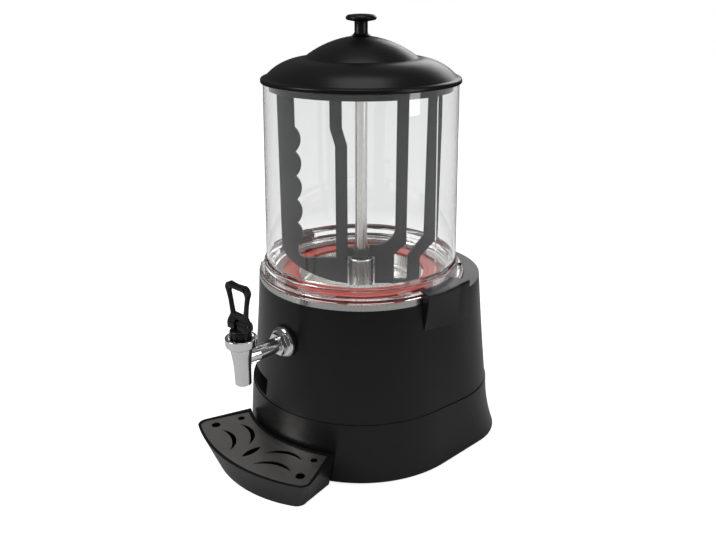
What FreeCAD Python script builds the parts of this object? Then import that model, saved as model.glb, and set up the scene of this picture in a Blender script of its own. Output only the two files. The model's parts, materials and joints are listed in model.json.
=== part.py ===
import FreeCAD, Part
import Sketcher
import math
import os
from types import SimpleNamespace

# Hot chocolate dispenser, millimetres.
# Origin on the tank's axis at the level of the table, +Z up, the tap towards -Y.

doc = FreeCAD.newDocument("HotChocolateDispenser")
sheet = doc.addObject("Spreadsheet::Sheet", "Sizes")

drivingSizes = {
    "fitGap": 0.3,
    "plasticWall": 3.0,
    "sheetWall": 1.5,
    # Outer shells: plan outline at five heights
    "skirtBottomZ": 3.0,
    "skirtMidZ": 40.0,
    "partingZ": 84.0,
    "housingMidZ": 160.0,
    "housingTopZ": 232.6,
    "shoulderRise": 5.4,
    "skirtBottomFront": 158.0,
    "skirtBottomSide": 162.0,
    "skirtBottomRear": 157.0,
    "skirtBottomCorner": 83.0,
    "skirtMidFront": 155.8,
    "skirtMidSide": 160.0,
    "skirtMidRear": 154.5,
    "skirtMidCorner": 100.0,
    "skirtTopFront": 152.4,
    "skirtTopSide": 158.9,
    "skirtTopRear": 152.4,
    "skirtTopCorner": 107.0,
    "partingStep": 1.2,
    "housingMidFront": 142.9,
    "housingMidSide": 153.5,
    "housingMidRear": 147.5,
    "housingMidCorner": 113.0,
    "housingTopFront": 137.2,
    "housingTopSide": 150.0,
    "housingTopRear": 143.0,
    "housingTopCorner": 118.0,
    "shelfHoleRadius": 121.0,
    "shelfThickness": 3.0,
    "lipRise": 6.0,
    "ledgeZ": 7.5,
    "ledgeWidth": 8.0,
    # Hold-down tabs at the ends of the shoulder
    "tabStartAngle": 77.0,
    "tabEndAngle": 103.0,
    "tabOuterRadius": 152.5,
    "tabFootRadius": 141.0,
    "tabFootZ": 198.0,
    "tabPlate": 2.8,
    "tabReach": 4.6,
    # Heating bowl
    "bowlFloorZ": 214.0,
    "bowlFloorRadius": 76.0,
    "bowlWallRadius": 82.0,
    "bowlRimRadius": 137.0,
    "bowlRimHeight": 8.4,
    "bossRadius": 16.5,
    "bossTopZ": 254.5,
    "tubeRadius": 8.0,
    "tubeBoreRadius": 6.2,
    "tubeTopZ": 470.0,
    "shaftRadius": 4.0,
    "shaftClearance": 0.05,
    "bushLength": 12.0,
    "sealLength": 14.0,
    # Gasket and tank
    "gasketInner": 84.0,
    "gasketOuter": 118.0,
    "gasketThickness": 2.5,
    "tankWall": 3.0,
    "tankTopZ": 489.0,
    "tankTopRadius": 121.7,
    "tankWallFootZ": 262.0,
    "tankWallFootRadius": 126.6,
    "tankRingZ": 257.0,
    "tankRingRadius": 129.8,
    "tankLipRadius": 135.6,
    "tankLipThickness": 4.4,
    "tankRingBore": 117.0,
    "tankFloorBore": 104.0,
    "tankFloorThickness": 4.0,
    "notchDepth": 5.4,
    "bayonetTurn": 28.0,
    # Lid and knob
    "lidRadius": 125.0,
    "lidWall": 2.8,
    "lidBrimDrop": 3.2,
    "lidBrimRise": 2.2,
    "lidPlugRadius": 114.8,
    "lidPlugDepth": 11.4,
    "lidShoulderBend": 78.0,
    "lidCreaseRadius": 71.0,
    "lidCreaseRise": 22.4,
    "lidDomeRise": 48.0,
    "lidDomeBend": 128.0,
    "knobDiskRadius": 19.0,
    "knobHeight": 26.0,
    "knobDiskThickness": 8.4,
    "knobStemRadius": 8.2,
    "knobScrewRadius": 2.5,
    # Stirrer
    "stirrerAngle": 43.18,
    "stirrerPlate": 5.0,
    "stirrerFloorGap": 2.2,
    "bladeTopZ": 253.0,
    "hubTopZ": 267.5,
    "hubHeight": 12.3,
    "hubRadius": 20.0,
    "armTopZ": 488.0,
    "crossBarDepth": 9.0,
    "topHubRadius": 12.0,
    "topHubHeight": 14.0,
    "outerArmReach": 106.0,
    "outerArmWidth": 21.5,
    "scraperHeelX": 80.0,
    "scraperHeelRise": 21.6,
    "waveDepth": 7.0,
    "wavePitch": 31.8,
    "waveCount": 5,
    "waveFootZ": 270.0,
    "innerArmNear": 18.0,
    "innerArmWidth": 15.5,
    "innerJogZ": 416.0,
    "innerJogShift": 6.5,
    "gapArmNear": 45.5,
    "gapArmWidth": 15.0,
    "farArmNear": 84.5,
    "farArmWidth": 17.5,
    "farFootNear": 62.0,
    # Drive
    "motorPlateZ": 150.0,
    "motorPlateRadius": 120.0,
    "gearCaseLength": 104.0,
    "gearCaseWidth": 76.0,
    "gearCaseHeight": 36.0,
    "gearCaseOffset": 16.0,
    "motorRadius": 34.0,
    "motorHeight": 62.0,
    "motorOffset": 24.0,
    "outputRadius": 6.0,
    "couplingRadius": 13.0,
    "couplingHeight": 24.0,
    "tieRadius": 2.5,
    "tieCircleRadius": 108.0,
    "spacerRadius": 6.0,
    "nutRadius": 5.0,
    "nutHeight": 4.5,
    # Heater
    "heaterRadius": 72.0,
    "heaterHole": 22.0,
    "heaterThickness": 8.0,
    "elementCircle": 38.0,
    "elementRadius": 3.5,
    "elementGapAngle": 30.0,
    "pipeRadius": 8.0,
    "pipeBoreRadius": 6.0,
    "pipeBend": 20.0,
    "outletReach": 58.0,
    # Tap
    "tapZ": 177.0,
    "tapReach": 209.0,
    "shankRadius": 8.0,
    "sleeveRadius": 9.5,
    "shankBoreRadius": 5.0,
    "flangeRadius": 20.0,
    "tapSeatRise": 0.6,
    "flangeThickness": 4.2,
    "tapNutFlats": 26.0,
    "tapNutLength": 7.0,
    "collarRadius": 19.2,
    "collarTopZ": 207.0,
    "collarHeight": 10.0,
    "seamRadius": 15.6,
    "seamZ": 189.5,
    "nozzleTipRadius": 9.6,
    "nozzleTipZ": 142.0,
    "nozzleBoreRadius": 6.6,
    "chamberRadius": 9.2,
    "seatZ": 162.0,
    "collarCup": 4.0,
    "bonnetRadius": 13.0,
    "bonnetHeight": 14.5,
    "bonnetFlutes": 12,
    "fluteRadius": 1.6,
    "stemRadius": 2.6,
    "springRadius": 5.2,
    "springWire": 0.6,
    "springGap": 0.1,
    "pivotRise": 6.3,
    "pinRadius": 1.6,
    "handleFootWidth": 29.0,
    "handleNeckWidth": 22.6,
    "handleTopWidth": 38.0,
    "handleRise": 51.0,
    "handleBar": 5.6,
    "handleGrip": 9.4,
    "handleDepth": 7.0,
    "handleFootDepth": 14.0,
    # Control recess and its fittings
    "recessAngle": 35.0,
    "recessHalfWidth": 55.0,
    "recessLowZ": 87.0,
    "recessHeight": 24.0,
    "panelRadius": 133.0,
    "panelThickness": 2.5,
    "rockerWidth": 19.0,
    "rockerHeight": 13.0,
    "rockerSpacing": 24.0,
    "rockerTilt": 16.0,
    "dialRadius": 9.0,
    "dialOffset": 30.0,
    "spindleRadius": 3.0,
    "lampRadius": 3.0,
    "lampOffset": 44.0,
    # Mains inlet and rear slots
    "inletWidth": 27.0,
    "inletHeight": 20.0,
    "inletX": 34.0,
    "inletZ": 46.0,
    "slotWidth": 4.0,
    "slotHeight": 40.0,
    "slotPitch": 9.0,
    "slotCount": 9,
    "slotZ": 130.0,
    # Base
    "footRadius": 13.0,
    "footHeight": 6.0,
    "footX": 104.0,
    "footY": 96.0,
    "baseScrewInset": 7.8,
    "baseScrewRadius": 1.4,
    # Drip tray and grid
    "trayTopZ": 45.0,
    "trayBottomZ": 0.4,
    "trayInnerTop": 159.5,
    "trayInnerBottom": 161.5,
    "trayInnerX": 82.0,
    "trayInnerBottomX": 77.0,
    "trayOuterX": 105.0,
    "trayOuterY": 207.0,
    "trayOuterBottomX": 83.0,
    "trayOuterBottomY": 196.0,
    "trayFrontTop": 238.0,
    "trayFrontBottom": 222.0,
    "trayCornerBend": 13.0,
    "trayWall": 2.6,
    "trayRimWidth": 4.4,
    "trayLedge": 3.0,
    "tongueHalfWidth": 34.0,
    "tongueReach": 146.0,
    "gridThickness": 1.2,
    "gridBelowRim": 0.8,
    "bigHoleRadius": 6.0,
    "bigHoleX": 83.2,
    "bigHoleY": 195.9,
    "smallHoleRadius": 4.6,
    "smallHoleX": 71.7,
    "smallHoleY": 162.0,
    "outerMoonX": 69.0,
    "outerMoonY": 198.0,
    "innerMoonX": 62.0,
    "innerMoonY": 173.0,
    "moonSpanX": 47.0,
    "moonSpanY": 23.0,
    "moonBulge": 14.0,
    "moonHollow": 8.0,
    "leafNearY": 188.0,
    "leafLength": 31.0,
    "leafHalfWidth": 4.6,
}


# A size keeps its number together with the cell expression that drives it.
class Size:
    def __init__(self, value, text):
        self.value = float(value)
        self.text = text

    def __add__(self, other):
        other = asSize(other)
        return Size(self.value + other.value, "(%s + %s)" % (self.text, other.text))

    def __sub__(self, other):
        other = asSize(other)
        return Size(self.value - other.value, "(%s - %s)" % (self.text, other.text))

    def __mul__(self, other):
        other = asSize(other)
        return Size(self.value * other.value, "(%s * %s)" % (self.text, other.text))

    def __truediv__(self, other):
        other = asSize(other)
        return Size(self.value / other.value, "(%s / %s)" % (self.text, other.text))

    def __neg__(self):
        return Size(-self.value, "(0 - %s)" % self.text)

    def __radd__(self, other):
        return asSize(other) + self

    def __rsub__(self, other):
        return asSize(other) - self

    def __rmul__(self, other):
        return asSize(other) * self


def asSize(number):
    return number if isinstance(number, Size) else Size(number, repr(float(number)))


def isPlainZero(size):
    return size.text in ("0.0", "-0.0")


def sine(angle):
    angle = asSize(angle)
    return Size(math.sin(math.radians(angle.value)), "sin(%s)" % angle.text)


def cosine(angle):
    angle = asSize(angle)
    return Size(math.cos(math.radians(angle.value)), "cos(%s)" % angle.text)


def fillSheet():
    for row, (name, value) in enumerate(drivingSizes.items(), start=1):
        sheet.set("A%d" % row, name)
        sheet.set("B%d" % row, str(value))
        sheet.setAlias("B%d" % row, name)
    doc.recompute()
    return SimpleNamespace(**{name: Size(value, "Sizes." + name) for name, value in drivingSizes.items()})


size = fillSheet()
nodes = []


def keep(item, label):
    item.Label = label
    nodes.append(item)
    return item


def bind(item, prop, value):
    item.setExpression(prop, asSize(value).text)


def place(item, x=0, y=0, z=0):
    for axis, value in (("x", x), ("y", y), ("z", z)):
        value = asSize(value)
        if not isPlainZero(value):
            bind(item, "Placement.Base." + axis, value)


def turn(item, axis, angle):
    item.Placement = FreeCAD.Placement(item.Placement.Base, FreeCAD.Rotation(FreeCAD.Vector(*axis), angle))


# Bodies and sketches

def newBody(name):
    return doc.addObject("PartDesign::Body", name)


def newSketch(body, name, role="XZ_Plane", offset=None):
    sketch = body.newObject("Sketcher::SketchObject", name)
    plane = [item for item in body.Origin.OriginFeatures if item.Role == role][0]
    sketch.AttachmentSupport = [(plane, "")]
    sketch.MapMode = "FlatFace"
    if offset is not None:
        bind(sketch, "AttachmentOffset.Base.z", offset)
    return sketch


def limit(sketch, kind, geometry, point, value):
    value = asSize(value)
    if kind in ("DistanceX", "DistanceY") and isPlainZero(value):
        axis = -2 if kind == "DistanceX" else -1
        sketch.addConstraint(Sketcher.Constraint("PointOnObject", geometry, point, axis))
        return
    if kind == "Radius":
        index = sketch.addConstraint(Sketcher.Constraint(kind, geometry, value.value))
    else:
        index = sketch.addConstraint(Sketcher.Constraint(kind, geometry, point, value.value))
    if "Sizes." in value.text:
        sketch.setExpression("Constraints[%d]" % index, value.text)


def join(sketch, kind, first, firstPoint, second, secondPoint):
    sketch.addConstraint(Sketcher.Constraint(kind, first, firstPoint, second, secondPoint))


# Closed outline: each corner is (x, y) or (x, y, bend), where bend is the radius of the arc that
# arrives at that corner, positive when it turns anticlockwise.
def drawOutline(sketch, corners):
    corners = [tuple(asSize(item) for item in corner) for corner in corners]
    count = len(corners)
    edges = []
    for index in range(count):
        start = corners[index]
        finish = corners[(index + 1) % count]
        a = FreeCAD.Vector(start[0].value, start[1].value, 0)
        b = FreeCAD.Vector(finish[0].value, finish[1].value, 0)
        if len(finish) == 2:
            edge = sketch.addGeometry(Part.LineSegment(a, b), False)
            edges.append((edge, 1, 2, None))
            continue
        bend = finish[2]
        middle = (a + b) * 0.5
        along = b - a
        left = FreeCAD.Vector(-along.y, along.x, 0).normalize()
        rise = math.sqrt(bend.value ** 2 - (along.Length / 2) ** 2)
        centre = middle + left * math.copysign(rise, bend.value)
        low, high = (a, b) if bend.value > 0 else (b, a)
        startAngle = math.atan2(low.y - centre.y, low.x - centre.x)
        endAngle = math.atan2(high.y - centre.y, high.x - centre.x)
        circle = Part.Circle(centre, FreeCAD.Vector(0, 0, 1), abs(bend.value))
        edge = sketch.addGeometry(Part.ArcOfCircle(circle, startAngle, endAngle), False)
        ends = (1, 2) if bend.value > 0 else (2, 1)
        radius = bend if bend.value > 0 else -bend
        edges.append((edge, ends[0], ends[1], radius))
    for index, (edge, head, tail, radius) in enumerate(edges):
        limit(sketch, "DistanceX", edge, head, corners[index][0])
        limit(sketch, "DistanceY", edge, head, corners[index][1])
        following = edges[(index + 1) % count]
        join(sketch, "Coincident", edge, tail, following[0], following[1])
        if radius is not None:
            limit(sketch, "Radius", edge, 0, radius)
    return sketch


def drawCircle(sketch, x, y, radius):
    x, y, radius = asSize(x), asSize(y), asSize(radius)
    centre = FreeCAD.Vector(x.value, y.value, 0)
    edge = sketch.addGeometry(Part.Circle(centre, FreeCAD.Vector(0, 0, 1), radius.value), False)
    limit(sketch, "DistanceX", edge, 3, x)
    limit(sketch, "DistanceY", edge, 3, y)
    limit(sketch, "Radius", edge, 0, radius)
    return sketch


def drawBox(sketch, x0, y0, x1, y1):
    return drawOutline(sketch, [(x0, y0), (x1, y0), (x1, y1), (x0, y1)])


# Ring sector about the origin, angles measured from the front (-Y) towards +X
def drawSector(sketch, inner, outer, startAngle, endAngle):
    inner, outer = asSize(inner), asSize(outer)
    innerStart = (inner * sine(startAngle), -(inner * cosine(startAngle)))
    innerEnd = (inner * sine(endAngle), -(inner * cosine(endAngle)), )
    outerStart = (outer * sine(startAngle), -(outer * cosine(startAngle)))
    outerEnd = (outer * sine(endAngle), -(outer * cosine(endAngle)), outer)
    return drawOutline(sketch, [innerStart + (-inner,), outerStart, outerEnd, innerEnd])


# Plan outline of the shells: a round front, and rear corners tangent to it
def drawShellOutline(sketch, front, side, rear, corner):
    front, side, rear, corner = asSize(front), asSize(side), asSize(rear), asSize(corner)
    across = side - corner
    back = rear - corner
    reach = math.hypot(across.value, back.value)
    lean = math.atan2(back.value, across.value) - math.acos((front.value - corner.value) / reach)
    normal = FreeCAD.Vector(0, 0, 1)
    frontCircle = Part.Circle(FreeCAD.Vector(0, 0, 0), normal, front.value)
    rightCircle = Part.Circle(FreeCAD.Vector(across.value, back.value, 0), normal, corner.value)
    leftCircle = Part.Circle(FreeCAD.Vector(-across.value, back.value, 0), normal, corner.value)
    frontArc = Part.ArcOfCircle(frontCircle, math.pi - lean, 2 * math.pi + lean)
    rightArc = Part.ArcOfCircle(rightCircle, lean, math.pi / 2)
    leftArc = Part.ArcOfCircle(leftCircle, math.pi / 2, math.pi - lean)
    edges = [
        frontArc,
        Part.LineSegment(frontArc.EndPoint, rightArc.StartPoint),
        rightArc,
        Part.LineSegment(rightArc.EndPoint, leftArc.StartPoint),
        leftArc,
        Part.LineSegment(leftArc.EndPoint, frontArc.StartPoint),
    ]
    for edge in edges:
        sketch.addGeometry(edge, False)
    for index in range(len(edges)):
        join(sketch, "Tangent", index, 2, (index + 1) % len(edges), 1)
    limit(sketch, "DistanceX", 0, 3, 0)
    limit(sketch, "DistanceY", 0, 3, 0)
    limit(sketch, "Radius", 0, 0, front)
    for arc, centreX in ((2, across), (4, -across)):
        limit(sketch, "DistanceX", arc, 3, centreX)
        limit(sketch, "DistanceY", arc, 3, back)
        limit(sketch, "Radius", arc, 0, corner)
    return sketch


# Features

def revolve(body, sketch, name="Turned", kind="PartDesign::Revolution", angle=360):
    feature = body.newObject(kind, name)
    feature.Profile = sketch
    feature.ReferenceAxis = (sketch, ["V_Axis"])
    if isinstance(angle, Size):
        bind(feature, "Angle", angle)
    else:
        feature.Angle = angle
    return feature


def pad(body, sketch, length, name="Raised", backwards=False, centred=False):
    feature = body.newObject("PartDesign::Pad", name)
    feature.Profile = sketch
    bind(feature, "Length", length)
    feature.Reversed = backwards
    if centred:
        feature.SideType = "Symmetric"
    return feature


def pocket(body, sketch, length, name="Cut", backwards=False, centred=False):
    feature = body.newObject("PartDesign::Pocket", name)
    feature.Profile = sketch
    bind(feature, "Length", length)
    feature.Reversed = backwards
    if centred:
        feature.SideType = "Symmetric"
    return feature


def loft(body, sketches, name="Blend", kind="PartDesign::AdditiveLoft"):
    feature = body.newObject(kind, name)
    feature.Profile = sketches[0]
    feature.Sections = sketches[1:]
    return feature


def mirrored(body, feature, name="Mirror", role="YZ_Plane"):
    plane = [item for item in body.Origin.OriginFeatures if item.Role == role][0]
    copy = body.newObject("PartDesign::Mirrored", name)
    copy.Originals = [feature]
    copy.MirrorPlane = (plane, [""])
    body.Tip = copy
    return copy


def turned(label, corners, angle=360):
    body = newBody(label)
    revolve(body, drawOutline(newSketch(body, label + "Profile"), corners), label + "Turned", angle=angle)
    return keep(body, label)


def cylinder(name, radius, height, x=0, y=0, z=0):
    item = doc.addObject("Part::Cylinder", name)
    bind(item, "Radius", radius)
    bind(item, "Height", height)
    place(item, x, y, z)
    return item


def box(name, width, depth, height, x=0, y=0, z=0):
    item = doc.addObject("Part::Box", name)
    bind(item, "Length", width)
    bind(item, "Width", depth)
    bind(item, "Height", height)
    place(item, x, y, z)
    return item


def fuse(name, items):
    result = doc.addObject("Part::MultiFuse", name)
    result.Shapes = items
    return result


def cut(name, base, tool):
    result = doc.addObject("Part::Cut", name)
    result.Base = base
    result.Tool = tool
    return result


def group(label, items):
    result = doc.addObject("Part::Compound", label)
    result.Links = items
    return keep(result, label)


# Shared levels
shelfTopZ = size.housingTopZ
shelfUnderZ = shelfTopZ - size.shelfThickness
shoulderTopZ = size.housingTopZ + size.shoulderRise
bowlLedgeZ = shelfTopZ + size.sheetWall
bowlRimTopZ = shelfTopZ + size.bowlRimHeight
gasketTopZ = bowlLedgeZ + size.gasketThickness
tankFloorTopZ = gasketTopZ + size.tankFloorThickness
tankLipUnderZ = bowlRimTopZ + 0.4
tankLipTopZ = tankLipUnderZ + size.tankLipThickness
baseTopZ = size.ledgeZ
baseUnderZ = size.ledgeZ - size.sheetWall
motorPlateTopZ = size.motorPlateZ + size.sheetWall
bossUnderZ = size.bowlFloorZ - size.sheetWall


# Shells

def shellBody(name, sections, kind="PartDesign::AdditiveLoft"):
    body = newBody(name)
    sketches = []
    for index, (height, front, side, rear, corner, inset) in enumerate(sections):
        sketch = newSketch(body, "%sPlan%d" % (name, index), "XY_Plane", height)
        drawShellOutline(sketch, front - inset, side - inset, rear - inset, corner - inset)
        sketches.append(sketch)
    loft(body, sketches, name + "Blend", kind)
    return body


def housingSections(inset, lowZ, highZ):
    step = size.partingStep
    skirtTop = (size.skirtTopFront, size.skirtTopSide, size.skirtTopRear, size.skirtTopCorner)
    low = tuple(item - step for item in skirtTop)
    middle = (size.housingMidFront, size.housingMidSide, size.housingMidRear, size.housingMidCorner)
    high = (size.housingTopFront, size.housingTopSide, size.housingTopRear, size.housingTopCorner)
    return [(lowZ,) + low + (inset,), (size.housingMidZ,) + middle + (inset,), (highZ,) + high + (inset,)]


def skirtSections(inset, lowZ, highZ):
    low = (size.skirtBottomFront, size.skirtBottomSide, size.skirtBottomRear, size.skirtBottomCorner)
    middle = (size.skirtMidFront, size.skirtMidSide, size.skirtMidRear, size.skirtMidCorner)
    high = (size.skirtTopFront, size.skirtTopSide, size.skirtTopRear, size.skirtTopCorner)
    return [(lowZ,) + low + (inset,), (size.skirtMidZ,) + middle + (inset,), (highZ,) + high + (inset,)]


def planPlate(name, height, thickness, sizes, inset):
    body = newBody(name)
    sketch = newSketch(body, name + "Plan", "XY_Plane", height)
    front, side, rear, corner = sizes
    drawShellOutline(sketch, front - inset, side - inset, rear - inset, corner - inset)
    pad(body, sketch, thickness, name + "Slab")
    return body


def tabSolid(name, side):
    body = newBody(name)
    start, finish = size.tabStartAngle * side, size.tabEndAngle * side
    if side < 0:
        start, finish = finish, start
    wallInner = size.bowlRimRadius + 1.0
    foot = newSketch(body, name + "Foot", "XY_Plane", size.tabFootZ)
    drawSector(foot, wallInner, size.tabFootRadius, start, finish)
    head = newSketch(body, name + "Head", "XY_Plane", tankLipTopZ + 0.4)
    drawSector(head, wallInner, size.tabOuterRadius, start, finish)
    loft(body, [foot, head], name + "Post")
    plate = newSketch(body, name + "Plate", "XY_Plane", tankLipTopZ + 0.4)
    drawSector(plate, size.tankLipRadius - size.tabReach, size.tabOuterRadius, start, finish)
    pad(body, plate, size.tabPlate, name + "Cap")
    return body


recessBackRadius = size.panelRadius - size.panelThickness - 2.0


def recessBlock(name, inner, halfWidth, lowZ, height):
    item = box(name, halfWidth * 2, 40, height)
    turn(item, (0, 0, 1), -drivingSizes["recessAngle"])
    angle = size.recessAngle
    place(
        item,
        -(sine(angle) * (inner + 40)) - cosine(angle) * halfWidth,
        -(cosine(angle) * (inner + 40)) + sine(angle) * halfWidth,
        lowZ,
    )
    return item


def upperHousing():
    outer = shellBody("HousingOuter", housingSections(asSize(0), size.partingZ, shoulderTopZ))
    innerTopZ = shelfUnderZ
    inner = shellBody("HousingInner", housingSections(size.plasticWall, size.partingZ, shoulderTopZ))
    topSlab = box("HousingCeiling", 400, 400, 60, -200, -200, innerTopZ)
    cavity = cut("HousingCavity", inner, topSlab)
    block = recessBlock(
        "RecessBlock", recessBackRadius, size.recessHalfWidth + 2.0, size.recessLowZ - 2.0,
        size.recessHeight + 4.0
    )
    hollow = cut("HousingHollow", cavity, block)
    window = recessBlock(
        "RecessWindow", size.panelRadius, size.recessHalfWidth, size.recessLowZ, size.recessHeight
    )
    panelSlot = recessBlock(
        "PanelSlot", size.panelRadius - size.panelThickness, size.recessHalfWidth - 3.0,
        size.recessLowZ + 1.5, size.recessHeight - 3.0
    )
    backHole = recessBlock(
        "PanelBackHole", size.panelRadius - 30.0, size.recessHalfWidth - 7.0, size.recessLowZ + 3.5,
        size.recessHeight - 7.0
    )
    bowlHole = cylinder("BowlHole", size.shelfHoleRadius, 60, 0, 0, shelfUnderZ - 20)
    rimRecess = cylinder("RimRecess", size.bowlRimRadius + 1.0, 20, 0, 0, shelfTopZ)
    frontCut = newBody("FrontCut")
    wedge = newSketch(frontCut, "FrontCutPlan", "XY_Plane", shelfTopZ)
    far = 260.0
    startX = sine(size.tabStartAngle) * far
    startY = -(cosine(size.tabStartAngle) * far)
    drawOutline(wedge, [(0, 0), (-startX, startY), (-far, -far), (far, -far), (startX, startY)])
    pad(frontCut, wedge, 40, "FrontCutPad")
    shankHole = cylinder("ShankHole", size.shankRadius + size.fitGap, 40)
    turn(shankHole, (1, 0, 0), 90)
    place(shankHole, 0, -(size.housingMidFront - 20), size.tapZ)
    slots = []
    for index in range(int(drivingSizes["slotCount"])):
        shift = (index - (drivingSizes["slotCount"] - 1) / 2.0) * size.slotPitch
        slot = box(
            "RearSlot%d" % index, size.slotWidth, 40, size.slotHeight,
            shift - size.slotWidth / 2, size.housingMidRear - 20, size.slotZ
        )
        slots.append(slot)
    cutters = fuse(
        "HousingCutters",
        [window, panelSlot, backHole, bowlHole, rimRecess, frontCut, shankHole] + slots
    )
    tapBoss = cylinder("TapBoss", size.flangeRadius + 1.5, size.tapSeatRise + 6.9)
    turn(tapBoss, (1, 0, 0), 90)
    place(tapBoss, 0, -(size.housingMidFront - 6.9), size.tapZ)
    solid = fuse("HousingSolid", [cut("HousingOpen", outer, hollow), tapBoss])
    shell = cut("HousingShell", solid, cutters)
    tabs = fuse("HoldDownTabs", [tabSolid("TabRight", 1), tabSolid("TabLeft", -1)])
    return keep(fuse("upper_housing", [shell, tabs]), "upper_housing")


def baseScrewPlaces():
    ring = size.skirtBottomFront - size.baseScrewInset
    cornerX = size.skirtBottomSide - size.skirtBottomCorner
    cornerY = size.skirtBottomRear - size.skirtBottomCorner
    cornerRing = size.skirtBottomCorner - size.baseScrewInset
    places = []
    for side in (-1, 1):
        places.append((ring * sine(30) * side, -(ring * cosine(30))))
        places.append((ring * sine(80) * side, -(ring * cosine(80))))
        places.append(((cornerX + cornerRing * sine(45)) * side, cornerY + cornerRing * cosine(45)))
    return places


def lowerSkirt():
    outer = shellBody("SkirtOuter", skirtSections(asSize(0), size.skirtBottomZ, size.partingZ))
    inner = shellBody("SkirtInner", skirtSections(size.plasticWall, size.skirtBottomZ, size.partingZ))
    step = size.partingStep + size.plasticWall + 1.2
    topSizes = (size.skirtTopFront, size.skirtTopSide, size.skirtTopRear, size.skirtTopCorner)
    bottomSizes = (size.skirtBottomFront, size.skirtBottomSide, size.skirtBottomRear, size.skirtBottomCorner)
    ledgeBlank = planPlate("LedgeBlank", baseTopZ, size.plasticWall, bottomSizes, size.plasticWall + 0.1)
    ledgeBore = planPlate("LedgeBore", baseTopZ - 1, 8, bottomSizes, size.plasticWall + size.ledgeWidth)
    holes = []
    for index, (x, y) in enumerate(baseScrewPlaces()):
        holes.append(cylinder("LedgeHole%d" % index, size.baseScrewRadius + 0.1, 8, x, y, baseTopZ - 1))
    ledge = cut("SkirtLedge", ledgeBlank, fuse("LedgeCutters", [ledgeBore] + holes))
    hollow = cut("SkirtHollow", inner, ledge)
    lipFoot = size.partingZ - size.lipRise
    lipBlank = planPlate("LipBlank", lipFoot, size.lipRise * 2, topSizes, step)
    lipCollar = planPlate("LipCollar", lipFoot, size.lipRise, topSizes, size.plasticWall - 0.4)
    lipBore = planPlate("LipBore", lipFoot - 1, size.lipRise * 2 + 2, topSizes, step + 2.0)
    lipGap = recessBlock(
        "LipGap", recessBackRadius - 1.0, size.recessHalfWidth + 3.0, size.partingZ, size.lipRise * 2
    )
    lip = cut("SkirtLip", fuse("LipStack", [lipBlank, lipCollar]), fuse("LipCutters", [lipBore, lipGap]))
    inletHole = box(
        "InletHole", size.inletWidth, 40, size.inletHeight,
        size.inletX - size.inletWidth / 2, size.skirtMidRear - 28, size.inletZ - size.inletHeight / 2
    )
    shell = cut("SkirtShell", outer, fuse("SkirtCutters", [hollow, inletHole]))
    return keep(fuse("lower_skirt", [shell, lip]), "lower_skirt")


upperHousing()
lowerSkirt()


def footPlaces():
    return [
        ("front_left", -size.footX, -size.footY),
        ("front_right", size.footX, -size.footY),
        ("rear_left", -size.footX, size.footY),
        ("rear_right", size.footX, size.footY),
    ]


# Base plate, feet and their screws

def basePlate():
    body = newBody("base_plate")
    plan = newSketch(body, "BasePlan", "XY_Plane", baseUnderZ)
    inset = size.plasticWall + 1.6
    drawShellOutline(
        plan, size.skirtBottomFront - inset, size.skirtBottomSide - inset, size.skirtBottomRear - inset,
        size.skirtBottomCorner - inset
    )
    pad(body, plan, size.sheetWall, "BaseSheet")
    holes = newSketch(body, "BaseHoles", "XY_Plane", baseTopZ)
    for name, x, y in footPlaces():
        drawCircle(holes, x, y, 2.2)
    for x, y in baseScrewPlaces():
        drawCircle(holes, x, y, size.baseScrewRadius + 0.3)
    for index in range(3):
        drawCircle(
            holes, size.tieCircleRadius * sine(60 + 120 * index),
            -(size.tieCircleRadius * cosine(60 + 120 * index)),
            size.tieRadius + 0.3
        )
    pocket(body, holes, 4, "BaseHoleCut")
    vents = newSketch(body, "BaseVents", "XY_Plane", baseTopZ)
    for row in range(2):
        for column in range(7):
            x = (column - 3) * 12.0
            y = -30.0 + row * 60.0
            drawBox(vents, x - 2.2, y - 20, x + 2.2, y + 20)
    pocket(body, vents, 4, "BaseVentCut")
    return keep(body, "base_plate")


def foot(name, x, y):
    body = newBody("foot_" + name)
    recess = size.footHeight * 0.55
    drawOutline(newSketch(body, "FootProfile_" + name), [
        (2.2, recess), (5.0, recess), (5.0, 0), (size.footRadius - 1.5, 0), (size.footRadius, 1.5),
        (size.footRadius - 1.0, size.footHeight), (2.2, size.footHeight),
    ])
    revolve(body, body.Group[-1], "FootTurned_" + name)
    place(body, x, y, 0)
    return keep(body, "foot_" + name)


def screw(name, headRadius, headHeight, shankRadius, shankLength):
    head = cylinder(name + "Head", headRadius, headHeight, 0, 0, -asSize(headHeight))
    shank = cylinder(name + "Shank", shankRadius, shankLength)
    return fuse(name, [head, shank])


def footScrews():
    screws = []
    for name, x, y in footPlaces():
        item = screw("FootScrew_" + name, 4.2, 2.4, 1.9, size.footHeight * 0.45 + size.sheetWall + 3.0)
        place(item, x, y, size.footHeight * 0.55)
        screws.append(item)
    return group("foot_screws", screws)


def baseScrews():
    screws = []
    for index, (x, y) in enumerate(baseScrewPlaces()):
        item = screw("BaseScrew%d" % index, 3.6, 2.0, size.baseScrewRadius, size.sheetWall + size.plasticWall)
        place(item, x, y, baseUnderZ)
        screws.append(item)
    return group("base_screws", screws)


basePlate()
for footName, footX, footY in footPlaces():
    foot(footName, footX, footY)
footScrews()
baseScrews()


# Heating bowl with its rolled rim, and what is welded or clamped to it

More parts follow.
